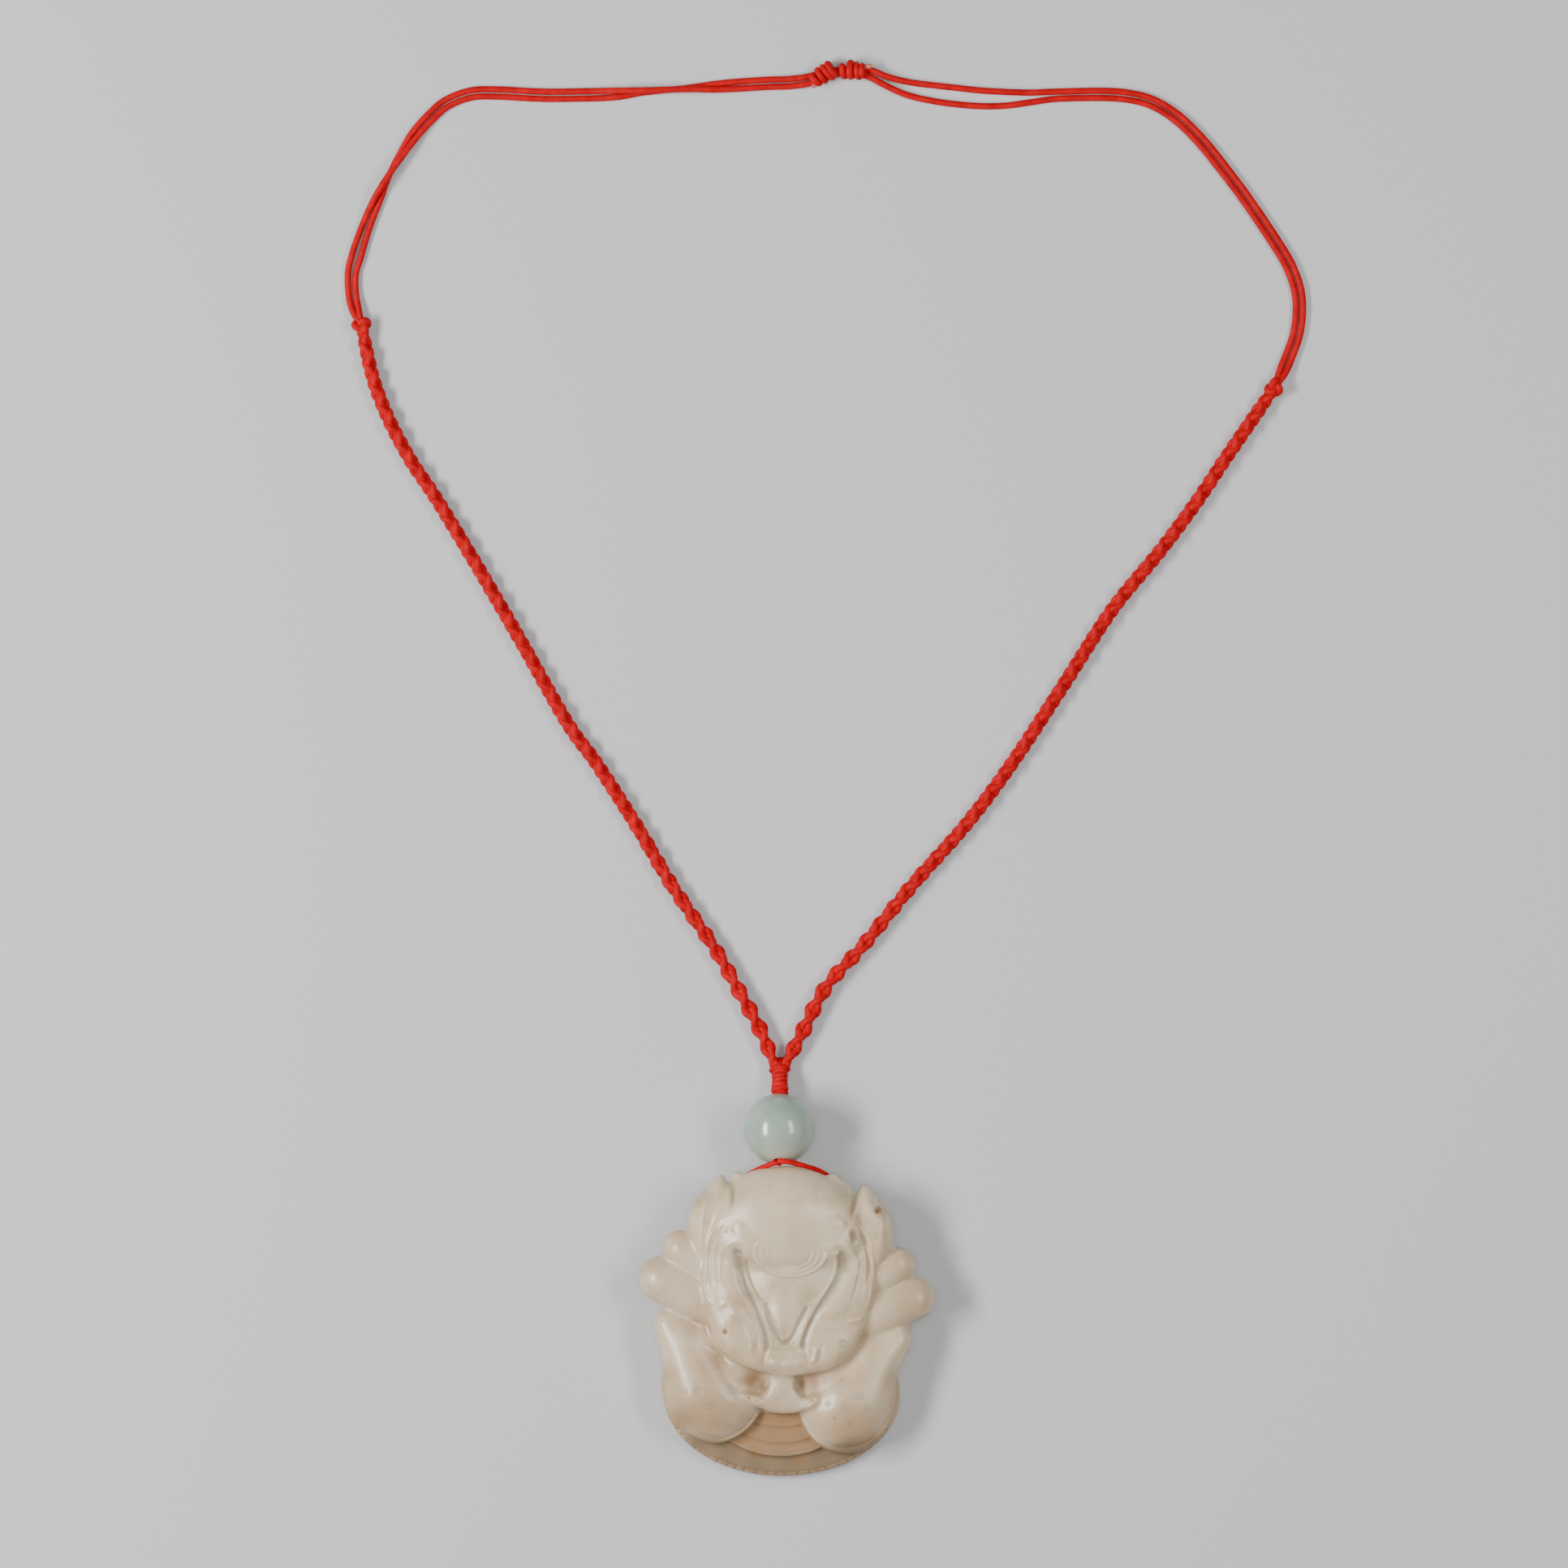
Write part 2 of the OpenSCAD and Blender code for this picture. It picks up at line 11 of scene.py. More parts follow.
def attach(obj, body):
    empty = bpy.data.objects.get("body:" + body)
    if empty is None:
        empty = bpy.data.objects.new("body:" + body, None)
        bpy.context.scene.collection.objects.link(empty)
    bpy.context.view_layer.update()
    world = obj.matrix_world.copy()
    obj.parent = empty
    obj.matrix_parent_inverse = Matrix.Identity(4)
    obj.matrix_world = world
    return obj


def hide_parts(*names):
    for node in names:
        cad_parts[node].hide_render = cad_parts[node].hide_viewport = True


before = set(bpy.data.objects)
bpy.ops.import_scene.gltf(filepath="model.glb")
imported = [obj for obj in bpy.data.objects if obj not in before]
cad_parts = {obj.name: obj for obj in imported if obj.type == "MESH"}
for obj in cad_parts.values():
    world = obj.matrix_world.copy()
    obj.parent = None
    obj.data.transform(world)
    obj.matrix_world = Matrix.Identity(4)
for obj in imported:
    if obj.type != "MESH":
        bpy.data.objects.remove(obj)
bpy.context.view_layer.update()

MM = 0.001

# Sizes shared with the solids, in millimetres
CORD_D = 1.46
LOOP_D = 1.2
BRAID_D = 3.5
BRAID_PITCH = 4.85
BRAID_Z = BRAID_D / 2 + 0.02
WRAP_D = 3.9
WRAP_TURNS = 5
WRAP_STEP = 1.24
WRAP_CORD_R = 0.68
END_KNOT_D = 4.2
SLIDE_KNOT_D = 4.1
SLIDE_KNOT_L = 5.9
BEAD_D = 16
BEAD_SLOPE = math.radians(27)
BEAD_CENTRE = Vector((-1.6, 43.4, 8))
HOLE_WAY = Vector((0, math.cos(BEAD_SLOPE), -math.sin(BEAD_SLOPE)))
WRAP_FOOT = BEAD_CENTRE + BEAD_D / 2 * HOLE_WAY + Vector((0.1, 0.55, 0))
WRAP_L = (WRAP_TURNS - 1) * WRAP_STEP + 2 * WRAP_CORD_R
WRAP_SLOPE = math.asin((WRAP_FOOT.z - WRAP_D / 2) / WRAP_L)
WRAP_WAY = Vector((0, math.cos(WRAP_SLOPE), -math.sin(WRAP_SLOPE)))
WRAP_HEAD = WRAP_FOOT + WRAP_L * WRAP_WAY
PAIR_HALF = (CORD_D + 0.18) / 2

# Sizes of this script alone: the bead's hole, drawn close round the loop, and the radii of the
# cord in the end knots, the melted ends, and the binding's ribs and broad turn
BEAD_HOLE_D = 2.7
END_KNOT_CORD_R = 0.8
MELTED_END_R = 0.55
RIB_R = 0.46
BROAD_TURN_R = 0.42

# The tunnel of the loop behind the brow, and the middle of the brow
TUNNEL_Y, TUNNEL_Z = 29.57, 6
BROW_X = 0.67

# The picture's width and the point that it is centred on, in metres
PICTURE_WIDTH = 0.3536
PICTURE_MIDDLE = (-0.00055, 0.1211, 0.004)

# Routes of the braids as [x, y], counted from the head of the binding turns
LEFT_BRAID = [
    [-3.3, 2.3], [-6.1, 9], [-11.3, 18.5], [-16.5, 27.5], [-26, 41.5], [-34, 55], [-43, 69],
    [-49.5, 78], [-60, 96.5], [-70.5, 114.5], [-79, 128.5], [-85, 137.5], [-90, 147],
    [-93.4, 156], [-95.5, 165.6],
]
RIGHT_BRAID = [
    [0.5, 2.3], [4, 9], [9, 18.5], [17.5, 28], [28.5, 41.5], [40.5, 55], [51, 69], [62.5, 86.5],
    [73.5, 103.5], [84.5, 117], [93, 128.5], [99, 137.5], [104.5, 145.5], [109, 152],
]
# Routes of the pairs of plain cord as [x, y, turn, apart, lift], from the same head. The pair lies
# flat (turn 0), side by side (apart 1) and on the floor (lift 0) where a row leaves these out.
USUAL_LIE = (0, 1, 0)
LEFT_PAIR = [
    [-96.3, 169.5, 0, 1, 1.2], [-97.8, 173.2, 0, 1, 0.2], [-98.2, 179, 0, 1.1],
    [-97.1, 183.5, 0, 1.3], [-95.7, 188, 0, 1.15], [-94, 192.5, 10], [-92, 197, 45],
    [-89.7, 201.7, 90], [-87, 206.2, 120], [-83.8, 211, 160], [-80, 215.2, 180], [-76.6, 218, 180],
    [-71.2, 220, 180], [-65, 220.2, 180], [-55, 219.7, 180], [-44, 219.8, 185], [-38, 220, 215],
    [-32.5, 220.5, 255], [-22, 221.2, 285], [-16, 221.6, 325], [-10.5, 222, 350],
    [-4, 222.4, 360, 1, 0.1], [0.5, 222.5, 360, 1, 0.5], [5.1, 223, 360, 1, 0.9],
]
RIGHT_PAIR = [
    [111.2, 155.5, 0, 1, 1.2], [113, 159.6, 0, 1, 0.2], [115, 165], [115.8, 170], [115.6, 175],
    [114.3, 179.4], [112, 184], [104.7, 195], [99, 202.7], [93.5, 209.5], [88, 214.8],
    [82.5, 218.1], [77, 219.5], [71, 219.9], [61, 219.7], [55, 219.2, 0, 1.35],
    [49.5, 218.9, 0, 1.9], [44, 219, 0, 2.15], [38.5, 219.5, 0, 2.25], [33, 220.2, 0, 2.15],
    [27.5, 221.2, 0, 1.8, 0.1], [22.5, 222.9, 0, 1.2, 0.6], [19, 224.7, 0, 1, 0.9],
]


class Route:
    """A smooth line through a table of points, read at any length run along it."""

    def __init__(self, points, closed=False, per_span=8):
        rows = np.array(points, float)
        count = len(rows)
        line = []
        for i in range(count if closed else count - 1):
            if closed:
                a, b, c, d = (rows[(i + k) % count] for k in (-1, 0, 1, 2))
            else:
                a, b, c, d = (rows[min(max(i + k, 0), count - 1)] for k in (-1, 0, 1, 2))
            for step in range(per_span):
                t = step / per_span
                line.append(
                    0.5 * (2 * b + (c - a) * t + (2 * a - 5 * b + 4 * c - d) * t * t
                           + (3 * b - a - 3 * c + d) * t ** 3)
                )
        line.append(rows[0] if closed else rows[-1])
        self.line = np.array(line)
        spatial = self.line if rows.shape[1] == 3 else self.line[:, :2]
        steps = np.linalg.norm(np.diff(spatial, axis=0), axis=1)
        self.run = np.concatenate([[0], np.cumsum(steps)])
        self.length = self.run[-1]

    def at(self, s):
        return np.array([np.interp(s, self.run, column) for column in self.line.T])

    def way(self, s, reach=0.4):
        ahead, behind = self.at(min(s + reach, self.length)), self.at(max(s - reach, 0))
        step = (ahead - behind)[:3]
        return step / np.linalg.norm(step)


def shown(name, data):
    """A new object in the scene."""
    made = bpy.data.objects.new(name, data)
    bpy.context.collection.objects.link(made)
    return made


def made_mesh(name, bm):
    """A bmesh is made a mesh and let go."""
    mesh = bpy.data.meshes.new(name)
    bm.to_mesh(mesh)
    bm.free()
    return mesh


def shade_smooth(mesh):
    mesh.polygons.foreach_set("use_smooth", [True] * len(mesh.polygons))


# Camera


def add_camera():
    """The camera looks straight down on the necklace from high above, as the photograph does."""
    optics = bpy.data.cameras.new("camera")
    optics.lens = 250
    optics.sensor_width = 36
    optics.clip_start = 0.05
    optics.clip_end = 30
    camera = shown("camera", optics)
    camera.location = PICTURE_MIDDLE
    camera.location.z += PICTURE_WIDTH * optics.lens / optics.sensor_width
    bpy.context.scene.camera = camera


add_camera()


# Cords and tubes


def new_piece(name, mesh, replaced, material):
    """A finished mesh in metres becomes a piece that rides on the one body."""
    piece = shown(name, mesh)
    mesh.materials.clear()
    mesh.materials.append(material)
    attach(piece, "root")
    if replaced:
        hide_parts(*replaced)
    return piece


def cord_piece(name, mesh):
    """A piece of red cord that stands for the solid of its own name."""
    return new_piece(name, mesh, [name], red_cord)


def tube_mesh(name, path, radius, swell=None, closed=False, detail=3):
    """Round cord along a path in millimetres. Its UV map holds the millimetres run along the
    cord, and the share of a turn round it."""
    curve = bpy.data.curves.new(name, "CURVE")
    curve.dimensions = "3D"
    spline = curve.splines.new("POLY")
    spline.points.add(len(path) - 1)
    for i, place in enumerate(path):
        spline.points[i].co = (*place, 1)
        spline.points[i].radius = swell[i] if swell is not None else 1
    spline.use_cyclic_u = closed
    curve.bevel_depth = radius
    curve.bevel_resolution = detail
    curve.use_fill_caps = not closed
    drawn = shown(name, curve)
    depsgraph = bpy.context.evaluated_depsgraph_get()
    mesh = bpy.data.meshes.new_from_object(drawn.evaluated_get(depsgraph))
    bpy.data.objects.remove(drawn)
    bpy.data.curves.remove(curve)
    runs = np.zeros(len(mesh.loops) * 2, np.float32)
    mesh.uv_layers[0].data.foreach_get("uv", runs)
    runs[0::2] *= float(np.linalg.norm(np.diff(np.array(path, float), axis=0), axis=1).sum())
    mesh.uv_layers[0].data.foreach_set("uv", runs)
    mesh.uv_layers[0].name = "cord_run"
    mesh.transform(Matrix.Scale(MM, 4))
    shade_smooth(mesh)
    return mesh


def gathered(name, meshes):
    """Several tubes or shells as one mesh."""
    bm = bmesh.new()
    for mesh in meshes:
        bm.from_mesh(mesh)
        bpy.data.meshes.remove(mesh)
    return made_mesh(name, bm)


def placed(path, middle, turn):
    """Points of a knot drawn about the origin along +X, turned about +Z and put in place."""
    put = Matrix.Translation(middle) @ Matrix.Rotation(math.radians(turn), 4, "Z")
    return [tuple(put @ Vector(p)) for p in path]


def pair_path(pair, which, end_knot_middle, knot_middle, count=150):
    """Centre line of one cord of a pair, from inside its end knot on into its sliding knot. which
    is 1 for the cord on the left of the way that the route runs, and -1 for the other."""
    route = Route([(*row, *USUAL_LIE[len(row) - 2:]) for row in pair])
    path = []
    for i in range(count):
        s = route.length * i / (count - 1)
        x, y, turn, apart, lift = route.at(s)
        way = route.way(s, 0.1)[:2]
        way = way / np.linalg.norm(way)
        aside = which * PAIR_HALF * apart * math.cos(math.radians(turn))
        rise = PAIR_HALF * (abs(math.sin(math.radians(turn))) + which * math.sin(math.radians(turn)))
        path.append((x - aside * way[1], y + aside * way[0] + WRAP_HEAD.y, CORD_D / 2 + lift + rise))
    # both ends of the route give way to smooth bends into the knots
    squeezed = np.array(knot_middle) + which * 0.5 * np.array((-way[1], way[0], 0))
    root = np.array(end_knot_middle)
    root = root + 0.25 * (np.array(path[3]) - root)
    path = eased_end(path[12:3:-1], root)[::-1] + path[12:-3] + eased_end(path[-6:-2], squeezed)
    return [(x, y, max(z, CORD_D / 2)) for x, y, z in path]


def eased_end(path, target):
    """The path's last point is carried on, in a smooth bend, to the target."""
    start, before = np.array(path[-1]), np.array(path[-2])
    reach = 0.5 * np.linalg.norm(target - start)
    lead = start + reach * (start - before) / np.linalg.norm(start - before)
    bend = []
    for k in range(9):
        t = k / 8
        bend.append(tuple((1 - t) ** 2 * start + 2 * t * (1 - t) * lead + t * t * target))
    return path[:-1] + bend if len(path) > 5 else bend


def end_knot_middle(points):
    """Where the end knot sits, just past the end of its braid."""
    end, before = Vector(points[-1]), Vector(points[-2])
    middle = end + (END_KNOT_D / 2 - 0.1) * (end - before).normalized()
    return (middle.x, middle.y + WRAP_HEAD.y, END_KNOT_D / 2)


def sliding_knot_middle(pair, turn, sign):
    """Where the sliding knot sits, past the end of the pair that it slides on."""
    x, y = pair[-1][:2]
    reach = sign * (SLIDE_KNOT_L / 2 + 0.8)
    way = math.radians(turn)
    return (x + reach * math.cos(way), y + reach * math.sin(way) + WRAP_HEAD.y, SLIDE_KNOT_D / 2)


LEFT_KNOT_MIDDLE = sliding_knot_middle(LEFT_PAIR, 24, 1)
RIGHT_KNOT_MIDDLE = sliding_knot_middle(RIGHT_PAIR, -8, -1)
LEFT_ENDS = (end_knot_middle(LEFT_BRAID), LEFT_KNOT_MIDDLE)
RIGHT_ENDS = (end_knot_middle(RIGHT_BRAID), RIGHT_KNOT_MIDDLE)


def plain_cord(name, pair, which, ends):
    """One of the four plain cords, a free cord of its real length from end knot to sliding knot."""
    path = pair_path(pair, which, *ends)
    piece = cord_piece(name, tube_mesh(name, path, CORD_D / 2))


# Materials


class Graph:
    """Short hand for the nodes of one material."""

    def __init__(self, name):
        self.material = bpy.data.materials.new(name)
        self.material.use_nodes = True
        self.nodes = self.material.node_tree.nodes
        self.links = self.material.node_tree.links
        self.shader = self.nodes["Principled BSDF"]

    def join(self, source, target):
        if isinstance(source, (int, float)):
            target.default_value = source
        elif isinstance(source, tuple):
            target.default_value = (*source, 1)[: len(target.default_value)]
        else:
            self.links.new(source, target)

    def math(self, operation, a, b=0.0):
        node = self.nodes.new("ShaderNodeMath")
        node.operation = operation
        for value, socket in zip((a, b), node.inputs):
            self.join(value, socket)
        return node.outputs[0]

    def noise(self, scale, detail=3.0, roughness=0.5, distortion=0.0):
        node = self.nodes.new("ShaderNodeTexNoise")
        node.inputs["Scale"].default_value = scale
        node.inputs["Detail"].default_value = detail
        node.inputs["Roughness"].default_value = roughness
        node.inputs["Distortion"].default_value = distortion
        place = self.nodes.new("ShaderNodeTexCoord").outputs["Object"]
        self.links.new(place, node.inputs["Vector"])
        return node.outputs[0]

    def attribute(self, name):
        node = self.nodes.new("ShaderNodeAttribute")
        node.attribute_name = name
        return node.outputs["Fac"]

    def ramp(self, value, *stops):
        node = self.nodes.new("ShaderNodeValToRGB")
        self.links.new(value, node.inputs[0])
        band = node.color_ramp
        while len(band.elements) < len(stops):
            band.elements.new(0.5)
        for element, (at, colour) in zip(band.elements, stops):
            element.position = at
            element.color = (*colour, 1)
        return node.outputs[0]

    def spread(self, value, low, high, to_low=0.0, to_high=1.0):
        node = self.nodes.new("ShaderNodeMapRange")
        for item, socket in zip((value, low, high, to_low, to_high), node.inputs):
            self.join(item, socket)
        return node.outputs[0]

    def mix(self, share, a, b):
        node = self.nodes.new("ShaderNodeMix")
        node.data_type = "RGBA"
        self.join(share, node.inputs[0])
        self.join(a, node.inputs[6])
        self.join(b, node.inputs[7])
        return node.outputs[2]

    def bump(self, height, distance, strength=1.0, under=None):
        node = self.nodes.new("ShaderNodeBump")
        node.inputs["Strength"].default_value = strength
        node.inputs["Distance"].default_value = distance
        self.links.new(height, node.inputs["Height"])
        if under:
            self.links.new(under, node.inputs["Normal"])
        return node.outputs[0]

    def set(self, **values):
        for name, value in values.items():
            self.join(value, self.shader.inputs[name.replace("_", " ")])
        return self.material


def cord_material(name, deep, bright):
    """Braided synthetic cord: fine threads that cross slantwise round it, with a satin shine and
    painted shade in the valleys between the threads.
    """
    g = Graph(name)
    run = g.nodes.new("ShaderNodeUVMap")
    run.uv_map = "cord_run"
    parts = g.nodes.new("ShaderNodeSeparateXYZ")
    g.links.new(run.outputs[0], parts.inputs[0])
    along, round_it = parts.outputs[0], parts.outputs[1]
    threads = []
    for slant in (1.7, -1.7):
        run_over = g.math("ADD", g.math("MULTIPLY", round_it, 8), g.math("MULTIPLY", along, slant))
        threads.append(g.math("ABSOLUTE", g.math("SINE", g.math("MULTIPLY", run_over, math.pi))))
    height = g.math("MULTIPLY", g.math("ADD", *threads), 0.5)
    cloud = g.noise(420, 3)
    # The threads' crowns are coloured lighter and the valleys between them darker, as painted shade,
    # over a cloudy tone of the red.
    tone = g.math("ADD", g.math("MULTIPLY", height, 0.22), g.math("MULTIPLY", cloud, 0.8))
    return g.set(
        Base_Color=g.ramp(tone, (0.25, deep), (0.85, bright)),
        Roughness=g.spread(height, 0, 1, 0.65, 0.52),
        Specular_IOR_Level=0.12,
        Normal=g.bump(height, 0.00004, 0.6),
        Sheen_Weight=0.03,
        Sheen_Roughness=0.4,
        Sheen_Tint=(1.0, 0.2, 0.2),
    )


red_cord = cord_material("red_cord", (0.34, 0.0, 0.003), (0.66, 0.0, 0.006))


def white_jade_material():
    """Grey-white nephrite: cloudy and waxy, warmer where it is thin or cut deep, stained brown
    in its pits, and matt inside the drilled spots. Its warm, dark and rusty tints also carry
    painted shade in its hollows, grooves and low parts and on the sides away from the light."""
    g = Graph("white_jade")
    cloud = g.noise(75, 5, 0.6, 0.8)
    fleck = g.noise(700, 3, 0.65, 0.4)
    vein = g.noise(28, 2, 0.5, 1.2)
    body = g.ramp(
        cloud, (0.32, (0.52, 0.385, 0.23)), (0.5, (0.67, 0.53, 0.35)), (0.7, (0.65, 0.565, 0.40))
    )
    body = g.mix(g.spread(fleck, 0.52, 0.72, 0.0, 0.35), body, (0.74, 0.67, 0.52))
    body = g.mix(g.spread(vein, 0.55, 0.75, 0.0, 0.4), body, (0.50, 0.49, 0.38))
    grit = g.noise(2200, 2, 0.7)
    body = g.mix(g.spread(grit, 0.35, 0.62, 0.16, 0.0), body, (0.40, 0.30, 0.19))
    # Blush, olive and stain are partly the stone's own tones and partly painted shade in hollows,
    # grooves, low parts and on the sides away from the light.
    body = g.mix(g.attribute("blush_and_shade"), body, (0.385, 0.235, 0.12))
    body = g.mix(g.attribute("olive_and_shade"), body, (0.17, 0.125, 0.07))
    body = g.mix(g.attribute("stain_and_shade"), body, (0.26, 0.11, 0.02))
    grain = g.noise(2600, 3)
    wave = g.noise(260, 2)
    rough = g.math("ADD", g.spread(g.noise(500, 3), 0.3, 0.7, 0.32, 0.43),
                   g.math("MULTIPLY", g.attribute("dull"), 0.3))
    return g.set(
        Base_Color=body,
        Roughness=rough,
        IOR=1.6,
        Normal=g.bump(grain, 0.00002, 0.35, g.bump(wave, 0.0002, 0.25)),
        Subsurface_Weight=0.5,
        Subsurface_Radius=(1.0, 0.62, 0.38),
        Subsurface_Scale=0.0024,
        Coat_Weight=0.1,
        Coat_Roughness=0.2,
    )


def green_jade_material():
    """Grey-green jade, cloudy and polished bright, warmer round the ends of its hole."""
    g = Graph("green_jade")
    cloud = g.noise(110, 4, 0.55, 0.8)
    veil = g.noise(45, 2)
    body = g.ramp(
        cloud, (0.32, (0.24, 0.33, 0.26)), (0.55, (0.31, 0.39, 0.32)), (0.75, (0.40, 0.46, 0.38))
    )
    body = g.mix(g.spread(veil, 0.42, 0.7, 0.0, 0.5), body, (0.37, 0.42, 0.36))
    body = g.mix(g.attribute("warm"), body, (0.44, 0.40, 0.31))
    return g.set(
        Base_Color=body,
        Roughness=g.spread(g.noise(600, 3), 0.3, 0.7, 0.16, 0.22),
        IOR=1.62,
        Normal=g.bump(g.noise(2400, 2), 0.00001, 0.2),
        Subsurface_Weight=0.35,
        Subsurface_Radius=(0.6, 1.0, 0.7),
        Subsurface_Scale=0.002,
    )


def scorched_end_material():
    """The end of a cut cord, melted hard and pale."""
    g = Graph("melted_cord_end")
    tone = g.noise(1500, 3)
    return g.set(
        Base_Color=g.ramp(tone, (0.35, (0.48, 0.05, 0.03)), (0.65, (0.62, 0.30, 0.21))),
        Roughness=0.3,
        Normal=g.bump(tone, 0.0001, 0.6),
    )


white_jade = white_jade_material()
green_jade = green_jade_material()
melted_end = scorched_end_material()


# Plain cords and the sliding knots at the nape


def sliding_knot(name, middle, turn, sign, wraps, other):
    """Barrel of cord wound round the two cords that it slides on, with its melted end. Those two
    cords run on to the other knot."""
    radius, half = (SLIDE_KNOT_D - CORD_D) / 2 * 1.06, (SLIDE_KNOT_L - CORD_D) / 2 + 0.3
    wound = []
    for i in range(121):
        t = i / 120
        angle = 2 * math.pi * wraps * t + 0.6
        tuck = 1 - 0.8 * (max(0, abs(2 * t - 1) - 0.9) / 0.1) ** 2
        along = -half + 2 * half * t + 0.16 * math.sin(angle * 0.7 + wraps)
        wide = radius * tuck * (1.12 if (t < 0.4) == (sign < 0) else 0.96)
        rise = max(wide * math.sin(angle), -SLIDE_KNOT_D / 2 + 1.14 * CORD_D / 2)
        wound.append((along - 0.35 * math.sin(angle), wide * math.cos(angle), rise))
    swell = [1.02 + 0.12 * math.sin(7 * i / 120 + sign) for i in range(121)]
    meshes = [tube_mesh(name, placed(wound, middle, turn), CORD_D / 2, swell, detail=4)]
    away = Vector(other) - Vector(middle)
    for aside in (-0.42, 0.42):
        put = Vector((-away.y, away.x, 0)).normalized() * aside
        core = [tuple(Vector(middle) + away * k / 12 + put) for k in range(7)]
        meshes.append(tube_mesh(name, core, CORD_D / 2))
    piece = cord_piece(name, gathered(name, meshes))
    stub_at = (-sign * (half + 0.35), -sign * radius * 0.9, 0.4)
    stub = [
        tuple(Vector(stub_at) + Vector((-sign * 0.32 * k, -sign * 0.1 * k, 0.1 * k)))
        for k in range(-3, 4)
    ]
    swell = [0.85, 0.9, 0.95, 1.0, 1.08, 1.0, 0.5]
    end = tube_mesh(name + "_end", placed(stub, middle, turn), MELTED_END_R, swell)
    new_piece(name + "_melted_end", end, (), melted_end)
    return piece


left_slider = sliding_knot("left_sliding_knot", LEFT_KNOT_MIDDLE, 27, 1, 3.4, RIGHT_KNOT_MIDDLE)
right_slider = sliding_knot("right_sliding_knot", RIGHT_KNOT_MIDDLE, -8, -1, 3.4, LEFT_KNOT_MIDDLE)
plain_cord("left_cord_outer", LEFT_PAIR, 1, LEFT_ENDS)
plain_cord("left_cord_inner", LEFT_PAIR, -1, LEFT_ENDS)
plain_cord("right_cord_outer", RIGHT_PAIR, -1, RIGHT_ENDS)
plain_cord("right_cord_inner", RIGHT_PAIR, 1, RIGHT_ENDS)


# Braids


def braid_size(s, length):
    """The braid draws in where it enters the binding turns and its end knot, and is looser for a
    way past the binding."""
    ends = min(1.0, max(0.0, min(s, length - s) / 5))
    loose = 0.13 * math.exp(-(((s - 9) / 9) ** 2))
    return (0.74 + 0.26 * ends * (2 - ends)) * (1 + loose)


def strand_path(points, lead_in, strand, per_quarter=9):
    """A strand winds one way or the other, over one strand and under the next."""
    route = Route([(x, y, BRAID_Z) for x, y in points])
    crossings = round(2 * route.length / BRAID_PITCH)
    quarter = route.length / crossings
    over = BRAID_D / 2 - CORD_D / 2
    under = over * 0.45
    path, swell = [], []
    first, last = -round(lead_in / quarter * per_quarter), crossings * per_quarter + 7
    for i in range(first, last + 1):
        crossing = i / per_quarter
        s = crossing * quarter
        inside = min(max(s, 0), route.length)
        way = route.way(inside)
        at = route.at(inside) + way * (s - inside)
        side = np.cross((0, 0, 1), way)
        side /= np.linalg.norm(side)
        up = np.cross(way, side)
        parity = 0 if strand < 2 else 1
        lift = 0.5 + 0.5 * math.cos(math.pi * (crossing + parity))
        radius = (under + (over - under) * lift) * braid_size(s, route.length)
        wind = (1 if strand < 2 else -1) * crossing * 90 + 180 * (strand % 2)
        roll = 45 * min(1, max(0, (inside - 12) / 55))
        angle = math.radians(90 + wind + roll)
        if s < 0:
            draw = min(1, -s / lead_in)
            radius *= 1 - 0.5 * draw
            at = at + draw * draw * np.array([0, 0, 0.5])
        place = at + radius * (math.cos(angle) * side + math.sin(angle) * up)
        path.append((place[0], place[1] + WRAP_HEAD.y, max(place[2], 0.02 + 1.1 * CORD_D / 2)))
        swell.append(0.92 + 0.08 * braid_size(s, route.length))
    return path, swell


def braid(side_name, points):
    """The four strands of a round braid."""
    for strand in range(4):
        name = f"{side_name}_braid_strand_{strand + 1}"
        path, swell = strand_path(points, 2.6, strand)
        mesh = tube_mesh(name, path, CORD_D / 2 * 1.1, swell)
        cord_piece(name, mesh)


braid("left", LEFT_BRAID)
braid("right", RIGHT_BRAID)


def end_knot(name, middle, turn, wide, tall):
    """Overhand knot drawn tight: the cord crosses over itself three times and leaves no hole."""
    bend = []
    for i in range(120):
        t = 2 * math.pi * i / 120
        bend.append((
            0.52 * wide * (math.sin(t) + 2 * math.sin(2 * t)),
            0.52 * tall * (math.cos(t) - 2 * math.cos(2 * t)), -0.78 * math.sin(3 * t) - 0.05,
        ))
    swell = [1 + 0.1 * math.sin(4 * math.pi * i / 120 + turn) for i in range(120)]
    mesh = tube_mesh(name, placed(bend, middle, turn), END_KNOT_CORD_R, swell, closed=True, detail=4)
    cord_piece(name, mesh)


end_knot("left_end_knot", LEFT_ENDS[0], 12, 1.06, 0.88)
end_knot("right_end_knot", RIGHT_ENDS[0], 48, 1.1, 0.92)


# Binding turns and hanging loop


